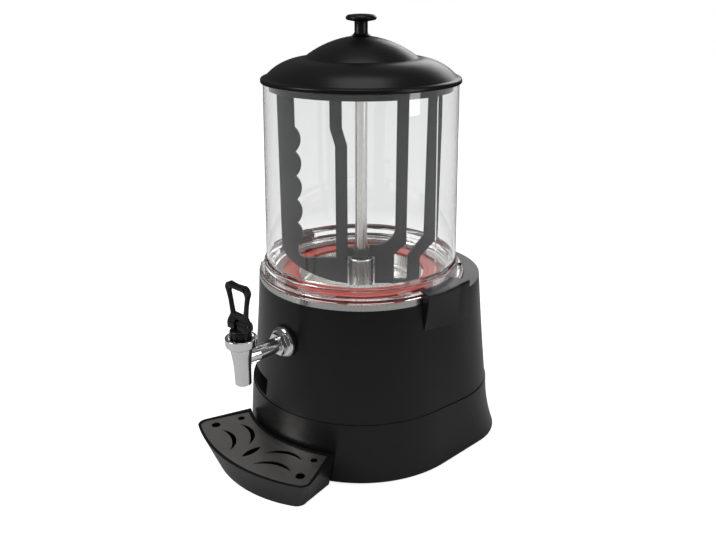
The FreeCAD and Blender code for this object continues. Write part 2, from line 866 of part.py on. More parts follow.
def heatingBowl():
    wall = size.sheetWall
    floorTop = size.bowlFloorZ
    rimInner = size.bowlRimRadius - wall
    bend = size.bowlWallRadius - size.bowlFloorRadius
    hole = size.bossRadius - 3.9
    body = newBody("heating_bowl")
    drawOutline(newSketch(body, "BowlProfile"), [
        (hole, floorTop),
        (size.bowlFloorRadius, floorTop),
        (size.bowlWallRadius, floorTop + bend, bend),
        (size.bowlWallRadius, bowlLedgeZ),
        (rimInner, bowlLedgeZ),
        (rimInner, bowlRimTopZ - wall / 2),
        (size.bowlRimRadius, bowlRimTopZ - wall / 2, -(wall * 0.56)),
        (size.bowlRimRadius, shelfTopZ),
        (size.bowlWallRadius + wall, shelfTopZ),
        (size.bowlWallRadius + wall, floorTop + bend),
        (size.bowlFloorRadius, floorTop - wall, -(bend + wall)),
        (hole, floorTop - wall),
    ])
    revolve(body, body.Group[-1], "BowlTurned")
    outlet = newSketch(body, "BowlOutlet", "XY_Plane", floorTop + 1)
    drawCircle(outlet, 0, -size.outletReach, size.pipeBoreRadius)
    pocket(body, outlet, 4, "BowlOutletCut")
    return keep(body, "heating_bowl")


def centralPost():
    spigot = size.bossRadius - 4.0
    bore = size.tubeRadius + 0.1
    footZ = size.bowlFloorZ - 12.0
    turned("centre_boss", [
        (bore, footZ), (spigot, footZ), (spigot, size.bowlFloorZ), (size.bossRadius, size.bowlFloorZ),
        (size.bossRadius, size.bossTopZ - 2.5), (size.bossRadius - 2.5, size.bossTopZ, 2.5),
        (bore, size.bossTopZ),
    ])
    turned("centre_tube", [
        (size.tubeBoreRadius, footZ), (size.tubeRadius, footZ), (size.tubeRadius, size.tubeTopZ),
        (size.tubeBoreRadius, size.tubeTopZ),
    ])
    bushOuter = size.tubeBoreRadius - 0.05
    bushBore = size.shaftRadius + size.shaftClearance
    turned("tube_top_bush", [
        (bushBore, size.tubeTopZ - size.bushLength), (bushOuter, size.tubeTopZ - size.bushLength),
        (bushOuter, size.tubeTopZ), (size.tubeRadius, size.tubeTopZ), (size.tubeRadius, size.tubeTopZ + 2.0),
        (bushBore, size.tubeTopZ + 2.0),
    ])
    turned("shaft_seal", [
        (bushBore, footZ + 0.5), (bushOuter, footZ + 0.5), (bushOuter, footZ + size.sealLength),
        (bushBore, footZ + size.sealLength),
    ])


def bowlGasket():
    bead = 5.0
    turned("bowl_gasket", [
        (size.gasketInner, bowlLedgeZ), (size.gasketOuter, bowlLedgeZ), (size.gasketOuter, gasketTopZ),
        (size.gasketInner + bead + 2.0, gasketTopZ), (size.gasketInner + bead, gasketTopZ + 1.0),
        (size.gasketInner + 1.0, gasketTopZ + 1.0), (size.gasketInner, gasketTopZ, 1.0),
    ])


def heater():
    top = bossUnderZ
    under = top - size.heaterThickness
    body = newBody("heater_plate")
    plan = newSketch(body, "HeaterPlan", "XY_Plane", under)
    drawCircle(plan, 0, 0, size.heaterRadius)
    drawCircle(plan, 0, 0, size.heaterHole)
    pad(body, plan, size.heaterThickness, "HeaterDisc")
    slot = newSketch(body, "HeaterSlot", "XY_Plane", top)
    half = size.pipeRadius + 2.0
    drawBox(slot, -half, -(size.heaterRadius + 5), half, -(size.outletReach - half))
    pocket(body, slot, size.heaterThickness + 1, "HeaterSlotCut")
    keep(body, "heater_plate")

    element = newBody("heater_element")
    ring = newSketch(element, "ElementProfile")
    drawCircle(ring, size.elementCircle, under - size.fitGap - size.elementRadius, size.elementRadius)
    revolve(element, ring, "ElementRing", angle=360 - size.elementGapAngle)
    keep(element, "heater_element")

    cap = cylinder("SafetyCap", 9.0, 6.0, 55, 14, under - 6.0)
    pins = [box("SafetyPin%d" % i, 6.3, 0.8, 8.0, 52, 10 + 7 * i, under - 13.9) for i in range(2)]
    keep(fuse("safety_thermostat", [cap] + pins), "safety_thermostat")


def outletPipe():
    body = newBody("outlet_pipe")
    topZ = bossUnderZ
    endY = size.housingMidFront - 21.2
    route = newSketch(body, "PipeRoute", "YZ_Plane")
    bendTop = size.tapZ + size.pipeBend
    first = route.addGeometry(Part.LineSegment(
        FreeCAD.Vector(-size.outletReach.value, topZ.value, 0),
        FreeCAD.Vector(-size.outletReach.value, bendTop.value, 0)), False)
    centre = FreeCAD.Vector(-size.outletReach.value - size.pipeBend.value, bendTop.value, 0)
    elbow = route.addGeometry(Part.ArcOfCircle(
        Part.Circle(centre, FreeCAD.Vector(0, 0, 1), size.pipeBend.value), -math.pi / 2, 0), False)
    last = route.addGeometry(Part.LineSegment(
        FreeCAD.Vector(centre.x, size.tapZ.value, 0),
        FreeCAD.Vector(-endY.value, size.tapZ.value, 0)), False)
    limit(route, "DistanceX", first, 1, -size.outletReach)
    limit(route, "DistanceY", first, 1, topZ)
    route.addConstraint(Sketcher.Constraint("Vertical", first))
    join(route, "Tangent", first, 2, elbow, 2)
    join(route, "Tangent", elbow, 1, last, 1)
    limit(route, "Radius", elbow, 0, size.pipeBend)
    limit(route, "DistanceX", last, 2, -endY)
    limit(route, "DistanceY", last, 2, size.tapZ)
    outer = newSketch(body, "PipeOuter", "XY_Plane", topZ)
    drawCircle(outer, 0, -size.outletReach, size.pipeRadius)
    bore = newSketch(body, "PipeBore", "XY_Plane", topZ)
    drawCircle(bore, 0, -size.outletReach, size.pipeBoreRadius)
    tube = body.newObject("PartDesign::AdditivePipe", "PipeTube")
    tube.Profile = outer
    tube.Spine = route
    hollow = body.newObject("PartDesign::SubtractivePipe", "PipeHollow")
    hollow.Profile = bore
    hollow.Spine = route
    return keep(body, "outlet_pipe")


heatingBowl()
centralPost()
bowlGasket()
heater()
outletPipe()


# Frame of tie rods between the bowl and the base plate

def tiePlaces():
    return [
        (size.tieCircleRadius * sine(60 + 120 * index), -(size.tieCircleRadius * cosine(60 + 120 * index)))
        for index in range(3)
    ]


def tube(name, outer, inner, height, x, y, z):
    body = newBody(name)
    ring = newSketch(body, name + "Ring", "XY_Plane")
    drawCircle(ring, 0, 0, outer)
    drawCircle(ring, 0, 0, inner)
    pad(body, ring, height, name + "Length")
    place(body, x, y, z)
    return body


def hexBar(name, flats, bore, height):
    body = newBody(name)
    plan = newSketch(body, name + "Plan", "XY_Plane")
    corner = asSize(flats) / math.sqrt(3.0)
    turns = [math.radians(60 * index) for index in range(6)]
    corners = [(corner * math.cos(turn), corner * math.sin(turn)) for turn in turns]
    drawOutline(plan, corners)
    drawCircle(plan, 0, 0, bore)
    pad(body, plan, height, name + "Length")
    return body


def tieFrame():
    rods = []
    spacers = []
    nuts = []
    lowLength = size.motorPlateZ - baseTopZ
    highLength = shelfTopZ - motorPlateTopZ
    for index, (x, y) in enumerate(tiePlaces()):
        foot = baseUnderZ - size.nutHeight
        rods.append(cylinder("Rod%d" % index, size.tieRadius, shelfTopZ - foot - 0.2, x, y, foot))
        bore = size.tieRadius + size.fitGap
        spacers.append(tube("LowSpacer%d" % index, size.spacerRadius, bore, lowLength, x, y, baseTopZ))
        high = tube("HighSpacer%d" % index, size.spacerRadius, bore, highLength, x, y, motorPlateTopZ)
        spacers.append(high)
        nut = hexBar("Nut%d" % index, size.nutRadius * 2, size.tieRadius + 0.1, size.nutHeight)
        place(nut, x, y, foot)
        nuts.append(nut)
    group("tie_rods", rods)
    group("spacer_tubes", spacers)
    group("tie_rod_nuts", nuts)


def motorPlate():
    body = newBody("motor_plate")
    plan = newSketch(body, "MotorPlatePlan", "XY_Plane", size.motorPlateZ)
    drawCircle(plan, 0, 0, size.motorPlateRadius)
    drawCircle(plan, 0, 0, 16.0)
    for x, y in tiePlaces():
        drawCircle(plan, x, y, size.tieRadius + size.fitGap)
    for x, y in gearScrewPlaces():
        drawCircle(plan, x, y, 2.2)
    pad(body, plan, size.sheetWall, "MotorPlateSheet")
    windows = newSketch(body, "MotorPlateWindows", "XY_Plane", motorPlateTopZ)
    drawSector(windows, 74.0, 98.0, 80, 150)
    drawSector(windows, 74.0, 98.0, -150, -80)
    pocket(body, windows, size.sheetWall + 2, "MotorPlateWindowCut")
    return keep(body, "motor_plate")


def gearScrewPlaces():
    halfX = size.gearCaseWidth / 2 - 7.0
    halfY = size.gearCaseLength / 2 - 7.0
    return [(halfX * sx, size.gearCaseOffset + halfY * sy) for sx in (-1, 1) for sy in (-1, 1)]


def gearmotor():
    case = newBody("gear_case")
    caseUnderZ = size.motorPlateZ - size.gearCaseHeight
    plan = newSketch(case, "GearCasePlan", "XY_Plane", caseUnderZ)
    halfX = size.gearCaseWidth / 2
    low = size.gearCaseOffset - size.gearCaseLength / 2
    high = size.gearCaseOffset + size.gearCaseLength / 2
    corner = asSize(10.0)
    drawOutline(plan, [
        (-(halfX - corner), low, corner), (halfX - corner, low), (halfX, low + corner, corner),
        (halfX, high - corner), (halfX - corner, high, corner), (-(halfX - corner), high),
        (-halfX, high - corner, corner), (-halfX, low + corner),
    ])
    pad(case, plan, size.gearCaseHeight, "GearCaseBlock")
    holes = newSketch(case, "GearCaseHoles", "XY_Plane", size.motorPlateZ)
    drawCircle(holes, 0, 0, size.outputRadius + size.shaftClearance)
    for x, y in gearScrewPlaces():
        drawCircle(holes, x, y, 1.9)
    pocket(case, holes, 14.0, "GearCaseHoleCut")
    keep(case, "gear_case")

    screws = []
    for index, (x, y) in enumerate(gearScrewPlaces()):
        head = cylinder("GearScrewHead%d" % index, 3.8, 2.6, 0, 0, 0)
        shank = cylinder("GearScrewShank%d" % index, 1.8, 12.0, 0, 0, -11.0)
        item = fuse("GearScrew%d" % index, [head, shank])
        place(item, x, y, motorPlateTopZ)
        screws.append(item)
    group("gear_case_screws", screws)

    motorTopZ = caseUnderZ
    motorFootZ = motorTopZ - size.motorHeight
    motor = newBody("motor")
    drawOutline(newSketch(motor, "MotorProfile"), [
        (0, motorFootZ - 4), (9, motorFootZ - 4), (9, motorFootZ), (size.motorRadius - 4, motorFootZ),
        (size.motorRadius, motorFootZ + 4, 4.0), (size.motorRadius, motorTopZ - 6),
        (size.motorRadius - 4, motorTopZ - 6),
        (size.motorRadius - 4, motorTopZ), (0, motorTopZ),
    ])
    revolve(motor, motor.Group[-1], "MotorTurned")
    place(motor, 0, size.motorOffset, 0)
    keep(motor, "motor")


def turnWithStirrer(body):
    body.Placement = FreeCAD.Placement(
        FreeCAD.Vector(0, 0, 0), FreeCAD.Rotation(FreeCAD.Vector(0, 0, 1), size.stirrerAngle.value)
    )
    bind(body, "Placement.Rotation.Angle", size.stirrerAngle)


def driveLine():
    couplingFootZ = motorPlateTopZ + 8.0
    couplingMidZ = couplingFootZ + size.couplingHeight / 2
    couplingTopZ = couplingFootZ + size.couplingHeight
    outputFootZ = size.motorPlateZ - 12.0
    outputLength = couplingMidZ - outputFootZ - 0.5
    keep(cylinder("output_shaft", size.outputRadius, outputLength, 0, 0, outputFootZ), "output_shaft")
    lowBore = size.outputRadius + 0.1
    highBore = size.shaftRadius + 0.1
    turned("drive_coupling", [
        (lowBore, couplingFootZ), (size.couplingRadius - 1, couplingFootZ),
        (size.couplingRadius, couplingFootZ + 1), (size.couplingRadius, couplingMidZ - 1.5),
        (size.couplingRadius - 2, couplingMidZ - 1.5), (size.couplingRadius - 2, couplingMidZ + 1.5),
        (size.couplingRadius, couplingMidZ + 1.5), (size.couplingRadius, couplingTopZ - 1),
        (size.couplingRadius - 1, couplingTopZ), (highBore, couplingTopZ), (highBore, couplingMidZ),
        (lowBore, couplingMidZ),
    ])
    shaft = newBody("drive_shaft")
    turnedTopZ = size.tubeTopZ + 3.0
    drawOutline(newSketch(shaft, "ShaftProfile"), [
        (0, couplingMidZ + 0.5), (size.shaftRadius, couplingMidZ + 0.5), (size.shaftRadius, turnedTopZ),
        (0, turnedTopZ),
    ])
    revolve(shaft, shaft.Group[-1], "ShaftTurned")
    square = newSketch(shaft, "ShaftSquare", "XY_Plane", turnedTopZ)
    half = size.shaftRadius * 0.68
    drawBox(square, -half, -half, half, half)
    pad(shaft, square, size.armTopZ - turnedTopZ, "ShaftSquareLength")
    stud = newSketch(shaft, "ShaftStud", "XY_Plane", size.armTopZ)
    drawCircle(stud, 0, 0, 2.0)
    pad(shaft, stud, 8.0, "ShaftStudLength")
    turnWithStirrer(shaft)
    keep(shaft, "drive_shaft")


tieFrame()
motorPlate()
gearmotor()
driveLine()


# Tank: tapered wall standing on a thick stepped ring, with a lip that the tabs hold down

def tank():
    wall = size.tankWall
    body = newBody("tank")
    drawOutline(newSketch(body, "TankProfile"), [
        (size.tankFloorBore, gasketTopZ),
        (size.bowlRimRadius - 4.0, gasketTopZ),
        (size.bowlRimRadius - 4.0, tankLipUnderZ),
        (size.tankLipRadius, tankLipUnderZ),
        (size.tankLipRadius, tankLipTopZ - 1.0),
        (size.tankLipRadius - 1.0, tankLipTopZ, 1.0),
        (size.tankRingRadius, tankLipTopZ),
        (size.tankRingRadius, size.tankRingZ - 2.0),
        (size.tankRingRadius - 2.0, size.tankRingZ, 2.0),
        (size.tankWallFootRadius, size.tankWallFootZ),
        (size.tankTopRadius, size.tankTopZ),
        (size.tankTopRadius - wall, size.tankTopZ),
        (size.tankWallFootRadius - wall, size.tankWallFootZ),
        (size.tankRingBore, size.tankRingZ - 1.0),
        (size.tankRingBore, tankFloorTopZ + 3.0),
        (size.tankRingBore - 3.0, tankFloorTopZ, -3.0),
        (size.tankFloorBore, tankFloorTopZ - 1.0),
    ])
    revolve(body, body.Group[-1], "TankTurned")
    notches = newSketch(body, "TankNotches", "XY_Plane", tankLipTopZ + 1)
    inner = size.tankLipRadius - size.notchDepth
    outer = size.tankLipRadius + 3.0
    turnBack = size.bayonetTurn
    for start, end in ((size.tabStartAngle, size.tabEndAngle), (-size.tabEndAngle, -size.tabStartAngle)):
        drawSector(notches, inner, outer, start + turnBack - 1.2, end + turnBack + 1.2)
    pocket(body, notches, size.tankLipThickness + 1.2, "TankNotchCut")
    return keep(body, "tank")


# Lid, its knob and the knob's screw

def lid():
    wall = size.lidWall
    seatZ = size.tankTopZ
    brimInner = size.tankTopRadius + 0.8
    creaseZ = seatZ + size.lidCreaseRise
    domeZ = seatZ + size.lidDomeRise
    hole = size.knobScrewRadius + 0.3
    plugInner = size.lidPlugRadius - wall
    turned("lid", [
        (brimInner, seatZ - size.lidBrimDrop),
        (size.lidRadius - 1.4, seatZ - size.lidBrimDrop),
        (size.lidRadius, seatZ - size.lidBrimDrop + 1.4, 1.4),
        (size.lidRadius, seatZ + 0.6),
        (size.lidRadius - 2.4, seatZ + size.lidBrimRise + 0.6, 2.6),
        (size.lidRadius - 5.5, seatZ + size.lidBrimRise + 1.2),
        (size.lidCreaseRadius, creaseZ, size.lidShoulderBend),
        (hole, domeZ, size.lidDomeBend),
        (hole, domeZ - wall),
        (size.lidCreaseRadius, creaseZ - wall, -(size.lidDomeBend - wall)),
        (plugInner, seatZ + 5.4, -(size.lidShoulderBend - wall)),
        (plugInner, seatZ - size.lidPlugDepth),
        (size.lidPlugRadius, seatZ - size.lidPlugDepth),
        (size.lidPlugRadius, seatZ),
        (brimInner, seatZ),
    ])


# Radius of a dome over a disc
def domeBend(half, rise):
    half, rise = asSize(half), asSize(rise)
    return (half * half + rise * rise) / (rise * 2)


def lidKnob():
    foot = size.tankTopZ + size.lidDomeRise
    top = foot + size.knobHeight
    disk = top - size.knobDiskThickness
    stem = size.knobStemRadius
    bore = size.knobScrewRadius + 0.1
    edge = size.knobDiskRadius
    turned("lid_knob", [
        (0, foot + 12), (bore, foot + 12), (bore, foot), (stem + 1.2, foot), (stem, foot + 2.0),
        (stem, disk - 1.0), (edge - 3.0, disk + 0.6), (edge, disk + 3.6, 3.2),
        (edge - 3.4, top - 1.2, 5.0), (0, top, domeBend(edge - 3.4, 1.2)),
    ])
    headTopZ = foot - size.lidWall - size.fitGap
    turned("lid_knob_screw", [
        (0, headTopZ - 2.6), (4.2, headTopZ - 2.6), (5.2, headTopZ - 1.4, 1.6), (5.2, headTopZ),
        (size.knobScrewRadius, headTopZ), (size.knobScrewRadius, foot + 11.5), (0, foot + 11.5),
    ])


tank()
lid()
lidKnob()


# Stirrer: one moulded paddle; X runs outwards in its plane, the wavy scraper arm at -X

def stirrerOutlines():
    floorZ = size.bowlFloorZ + size.stirrerFloorGap
    bladeZ = size.bladeTopZ
    top = size.armTopZ
    bossGap = size.bossRadius + 2.0
    waveFootX = -(size.outerArmReach - size.outerArmWidth)
    waveBend = (size.wavePitch * size.wavePitch / 4 + size.waveDepth * size.waveDepth) / (size.waveDepth * 2)
    scraper = [
        (-size.outerArmReach, top),
        (-size.outerArmReach, bladeZ + 15),
        (-size.scraperHeelX, floorZ + size.scraperHeelRise, 60.0),
        (-bossGap, floorZ, 135.0),
        (-bossGap, bladeZ),
        (waveFootX + 11, bladeZ),
        (waveFootX, bladeZ + 11, -11.5),
        (waveFootX, size.waveFootZ),
    ]
    for index in range(int(drivingSizes["waveCount"])):
        scraper.append((waveFootX, size.waveFootZ + size.wavePitch * (index + 1), waveBend))
    scraper.append((waveFootX, top))

    near = -size.innerArmNear
    far = -(size.innerArmNear + size.innerArmWidth)
    shift = size.innerJogShift
    inner = [
        (far, bladeZ - 4), (near, bladeZ - 4), (near, size.innerJogZ - 11),
        (near - shift, size.innerJogZ + 11), (near - shift, top), (far - shift, top),
        (far - shift, size.innerJogZ + 11), (far, size.innerJogZ - 11),
    ]

    gapNear = size.gapArmNear
    gapFar = size.gapArmNear + size.gapArmWidth
    hubFoot = size.hubTopZ - size.hubHeight
    gap = [
        (gapNear, top), (gapNear, size.hubTopZ + 24), (size.hubRadius - 1, size.hubTopZ + 4, -26.0),
        (size.hubRadius - 9, size.hubTopZ + 4), (size.hubRadius - 9, hubFoot), (gapNear - 4, hubFoot),
        (gapFar, hubFoot + 18), (gapFar, top),
    ]
    blade = [(bossGap, floorZ), (gapNear - 1, floorZ), (gapNear - 1, hubFoot + 1), (bossGap, hubFoot + 1)]

    footNear = size.farFootNear
    footFar = size.farFootNear + size.farArmWidth - 0.5
    armFar = size.farArmNear + size.farArmWidth
    stripZ = floorZ + 6.0
    farArm = [
        (size.farArmNear, top), (size.farArmNear, bladeZ + 46), (footNear, bladeZ + 10), (footNear, stripZ),
        (gapNear - 2, stripZ), (gapNear - 2, floorZ), (footFar - 3.5, floorZ), (footFar, floorZ + 5, 5.0),
        (footFar, bladeZ), (armFar, bladeZ + 34), (armFar, top),
    ]
    bar = [
        (-size.outerArmReach, top - size.crossBarDepth), (armFar, top - size.crossBarDepth), (armFar, top),
        (-size.outerArmReach, top),
    ]
    return [
        ("Scraper", scraper), ("InnerArm", inner), ("GapArm", gap), ("Blade", blade), ("FarArm", farArm),
        ("Bar", bar),
    ]


def stirrer():
    body = newBody("stirrer")
    for name, corners in stirrerOutlines():
        sketch = newSketch(body, "Stirrer" + name)
        drawOutline(sketch, corners)
        pad(body, sketch, size.stirrerPlate, "Stirrer" + name + "Pad", centred=True)
    hubFoot = size.hubTopZ - size.hubHeight
    hub = newSketch(body, "StirrerHub", "XY_Plane", hubFoot)
    drawCircle(hub, 0, 0, size.hubRadius)
    pad(body, hub, size.hubHeight, "StirrerHubPad")
    head = newSketch(body, "StirrerHead", "XY_Plane", size.armTopZ - size.topHubHeight)
    drawCircle(head, 0, 0, size.topHubRadius)
    pad(body, head, size.topHubHeight, "StirrerHeadPad")
    bore = newSketch(body, "StirrerBore", "XY_Plane", size.hubTopZ + 1)
    drawCircle(bore, 0, 0, size.tubeRadius + 1.0)
    pocket(body, bore, size.hubHeight + 2, "StirrerBoreCut")
    socket = newSketch(body, "StirrerSocket", "XY_Plane", size.armTopZ + 1)
    half = size.shaftRadius * 0.68 + 0.1
    drawBox(socket, -half, -half, half, half)
    pocket(body, socket, size.topHubHeight + 2, "StirrerSocketCut")
    turnWithStirrer(body)
    keep(body, "stirrer")
    turned("stirrer_cap", [
        (2.2, size.armTopZ), (8.0, size.armTopZ), (8.0, size.armTopZ + 5.0), (5.5, size.armTopZ + 8.0, 4.5),
        (2.2, size.armTopZ + 8.0),
    ])


stirrer()


# Tap. Pieces along the shank are drawn upright and then laid along -Y.

flangeSeat = size.housingMidFront + size.tapSeatRise
innerSeat = size.housingMidFront - 6.9
collarSeatZ = size.collarTopZ - size.collarCup
bonnetTopZ = collarSeatZ + size.bonnetHeight
pinZ = bonnetTopZ + size.pivotRise


def layForward(item):
    item.Placement = FreeCAD.Placement(
        FreeCAD.Vector(0, 0, size.tapZ.value), FreeCAD.Rotation(FreeCAD.Vector(1, 0, 0), 90)
    )
    place(item, 0, 0, size.tapZ)
    return item


def tapShank():
    socketFoot = size.tapReach - 14.0
    sleeveFoot = flangeSeat + size.flangeThickness + size.tapNutLength + 0.6
    bore = size.shankBoreRadius
    item = turned("tap_shank", [
        (bore, innerSeat - 14.0), (size.shankRadius, innerSeat - 14.0), (size.shankRadius, sleeveFoot),
        (size.sleeveRadius - 0.8, sleeveFoot), (size.sleeveRadius, sleeveFoot + 1.0, 1.0),
        (size.sleeveRadius, socketFoot - 8.3), (size.shankRadius, socketFoot - 8.3),
        (size.shankRadius, socketFoot), (bore, socketFoot),
    ])
    layForward(item)
    gap = size.shankRadius + 0.1
    item = turned("tap_flange", [
        (gap, flangeSeat), (size.flangeRadius, flangeSeat), (size.flangeRadius, flangeSeat + 1.2),
        (size.flangeRadius - 3.0, flangeSeat + 3.4, 5.0),
        (size.tapNutFlats / 2 + 0.4, flangeSeat + size.flangeThickness),
        (gap, flangeSeat + size.flangeThickness),
    ])
    layForward(item)
    nut = hexBar("tap_nut", size.tapNutFlats, gap, size.tapNutLength)
    layForward(nut)
    nut.Placement.Base = FreeCAD.Vector(0, 0, 0)
    place(nut, 0, -(flangeSeat + size.flangeThickness), size.tapZ)
    keep(nut, "tap_nut")
    washer = tube("tap_sealing_washer", 13.0, gap, 2.0, 0, 0, 0)
    layForward(washer)
    place(washer, 0, -(innerSeat - 2.0), size.tapZ)
    keep(washer, "tap_sealing_washer")
    inner = hexBar("tap_inner_nut", size.tapNutFlats - 2.0, gap, 6.0)
    layForward(inner)
    place(inner, 0, -(innerSeat - 8.0), size.tapZ)
    keep(inner, "tap_inner_nut")


def nozzle():
    tip = size.nozzleTipZ
    body = newBody("tap_nozzle")
    drawOutline(newSketch(body, "NozzleProfile"), [
        (size.nozzleBoreRadius, tip), (size.nozzleTipRadius, tip), (size.seamRadius, size.seamZ),
        (size.seamRadius - 0.6, size.seamZ + 0.5), (size.seamRadius + 0.2, size.seamZ + 1.0),
        (size.collarRadius, size.collarTopZ - size.collarHeight), (size.collarRadius, size.collarTopZ - 1.0),
        (size.collarRadius - 1.0, size.collarTopZ, 1.0), (size.bonnetRadius + 2.6, size.collarTopZ),
        (size.bonnetRadius + 2.2, collarSeatZ), (size.chamberRadius, collarSeatZ),
        (size.chamberRadius, size.seatZ + 2.6), (size.nozzleBoreRadius, size.seatZ),
    ])
    revolve(body, body.Group[-1], "NozzleTurned")
    branch = newSketch(body, "NozzleBranch", "XZ_Plane")
    drawCircle(branch, 0, size.tapZ, size.sleeveRadius + 0.9)
    pad(body, branch, 22.0, "NozzleBranchPad", backwards=True)
    clear = newSketch(body, "NozzleChamberAgain", "XY_Plane", collarSeatZ)
    drawCircle(clear, 0, 0, size.chamberRadius)
    pocket(body, clear, collarSeatZ - size.seatZ - 2.6, "NozzleChamberCut")
    socket = newSketch(body, "NozzleSocket", "XZ_Plane", -22.0)
    drawCircle(socket, 0, size.tapZ, size.shankRadius + 0.1)
    pocket(body, socket, 8.2, "NozzleSocketCut", backwards=True)
    passage = newSketch(body, "NozzlePassage", "XZ_Plane", -22.0)
    drawCircle(passage, 0, size.tapZ, size.shankBoreRadius)
    pocket(body, passage, 16.0, "NozzlePassageCut", backwards=True)
    place(body, 0, -size.tapReach, 0)
    return keep(body, "tap_nozzle")


def bonnet():
    body = newBody("tap_bonnet")
    stemHole = size.stemRadius + 0.06
    springRoom = size.bonnetRadius - 5.0
    drawOutline(newSketch(body, "BonnetProfile"), [
        (springRoom, collarSeatZ), (size.bonnetRadius, collarSeatZ), (size.bonnetRadius, bonnetTopZ - 2.5),
        (size.bonnetRadius - 2.5, bonnetTopZ, 2.6), (stemHole, bonnetTopZ), (stemHole, bonnetTopZ - 4.0),
        (springRoom, bonnetTopZ - 4.0),
    ])
    revolve(body, body.Group[-1], "BonnetTurned")
    flute = newSketch(body, "BonnetFlute", "XY_Plane", bonnetTopZ - 2.5)
    drawCircle(flute, size.bonnetRadius + 0.5, 0, size.fluteRadius)
    groove = pocket(body, flute, size.bonnetHeight, "BonnetFluteCut")
    doc.recompute()
    ring = body.newObject("PartDesign::PolarPattern", "BonnetFlutes")
    ring.Originals = [groove]
    axis = [item for item in body.Origin.OriginFeatures if item.Role == "Z_Axis"][0]
    ring.Axis = (axis, [""])
    ring.Angle = 360
    ring.Occurrences = int(drivingSizes["bonnetFlutes"])
    body.Tip = ring
    place(body, 0, -size.tapReach, 0)
    return keep(body, "tap_bonnet")


def handle():
    foot = bonnetTopZ + 0.3
    half = size.handleFootWidth / 2
    neck = size.handleNeckWidth / 2
    head = size.handleTopWidth / 2
    bar = size.handleBar
    shoulderZ = pinZ + 4.5
    neckZ = pinZ + 10.5
    topZ = pinZ + size.handleRise
    body = newBody("tap_handle")
    outer = newSketch(body, "HandleOutline")
    drawOutline(outer, [
        (-half, foot), (half, foot), (half, shoulderZ), (neck, neckZ, 9.0), (head, topZ - 9.0, -70.0),
        (head - 8, topZ, 8.6), (-(head - 8), topZ, -60.0), (-head, topZ - 9.0, 8.6), (-neck, neckZ, -70.0),
        (-half, shoulderZ, 9.0),
    ])
    pad(body, outer, size.handleDepth, "HandleSlab", centred=True)
    loop = newSketch(body, "HandleLoop")
    sill = neckZ + 2.2
    lintel = topZ - size.handleGrip
    drawOutline(loop, [
        (-(neck - bar), sill), (neck - bar, sill), (head - bar, lintel - 4), (head - bar - 4, lintel, 4.4),
        (-(head - bar - 4), lintel), (-(head - bar), lintel - 4, 4.4),
    ])
    pocket(body, loop, size.handleDepth + 4, "HandleLoopCut", centred=True)
    grip = newSketch(body, "HandleGrip")
    drawOutline(grip, [
        (-(head - 7), lintel + 0.8), (head - 7, lintel + 0.8), (head - 7, topZ - 1.6),
        (-(head - 7), topZ - 1.6),
    ])
    pad(body, grip, size.handleDepth + 2.4, "HandleGripPad", centred=True)
    base = newSketch(body, "HandleBase", "YZ_Plane")
    deep = size.handleFootDepth / 2
    thin = size.handleDepth / 2
    drawOutline(base, [
        (-deep, foot), (deep, foot), (deep, pinZ), (thin, shoulderZ + 2, 9.0), (-thin, shoulderZ + 2),
        (-deep, pinZ, 9.0),
    ])
    pad(body, base, size.handleFootWidth, "HandleBasePad", centred=True)
    fork = newSketch(body, "HandleFork")
    drawBox(fork, -2.9, foot - 1, 2.9, pinZ + 6.7)
    pocket(body, fork, size.handleFootDepth + 4, "HandleForkCut", centred=True)
    eye = newSketch(body, "HandleEye", "YZ_Plane")
    drawCircle(eye, 0, pinZ, size.pinRadius + 0.05)
    pocket(body, eye, size.handleFootWidth + 4, "HandleEyeCut", centred=True)
    place(body, 0, -size.tapReach, 0)
    keep(body, "tap_handle")

    pin = cylinder("tap_pin", size.pinRadius, size.handleFootWidth - 1.0)
    pin.Placement = FreeCAD.Placement(FreeCAD.Vector(0, 0, 0), FreeCAD.Rotation(FreeCAD.Vector(0, 1, 0), 90))
    place(pin, -(size.handleFootWidth / 2 - 0.5), -size.tapReach, pinZ)
    keep(pin, "tap_pin")


def stem():
    body = newBody("tap_stem")
    foot = size.seatZ + 1.4
    neck = bonnetTopZ + 0.8
    drawOutline(newSketch(body, "StemProfile"), [
        (0, foot), (size.stemRadius, foot), (size.stemRadius, neck + 1), (0, neck + 1),
    ])
    revolve(body, body.Group[-1], "StemTurned")
    head = newSketch(body, "StemHead", "XY_Plane", neck)
    drawBox(head, -2.4, -3.1, 2.4, 3.1)
    pad(body, head, pinZ + 3.8 - neck, "StemHeadPad")
    eye = newSketch(body, "StemEye", "YZ_Plane")
    drawCircle(eye, 0, pinZ, size.pinRadius + 0.06)
    pocket(body, eye, 10.0, "StemEyeCut", centred=True)
    place(body, 0, -size.tapReach, 0)
    keep(body, "tap_stem")

    cup = newBody("tap_seat_cup")
    seat = size.seatZ
    edge = size.chamberRadius - 1.0
    drawOutline(newSketch(cup, "CupProfile"), [
        (0, seat - 1.2), (size.nozzleBoreRadius - 1.6, seat - 1.2), (edge, seat + 2.02), (edge, seat + 6.5),
        (size.stemRadius + 2.0, seat + 10.0), (size.stemRadius + 0.02, seat + 10.0),
        (size.stemRadius + 0.02, seat + 1.2), (0, seat + 1.2),
    ])
    revolve(cup, cup.Group[-1], "CupTurned")
    place(cup, 0, -size.tapReach, 0)
    keep(cup, "tap_seat_cup")

    low = seat + 10.0 + size.springGap
    high = bonnetTopZ - 4.0 - size.springGap
    item = tube(
        "tap_spring", size.springRadius + size.springWire, size.springRadius - size.springWire, high - low,
        0, -size.tapReach, low
    )
    keep(item, "tap_spring")


tapShank()
nozzle()
bonnet()
handle()
stem()


# Control panel in the recess; local -Y of these pieces points out of the left front

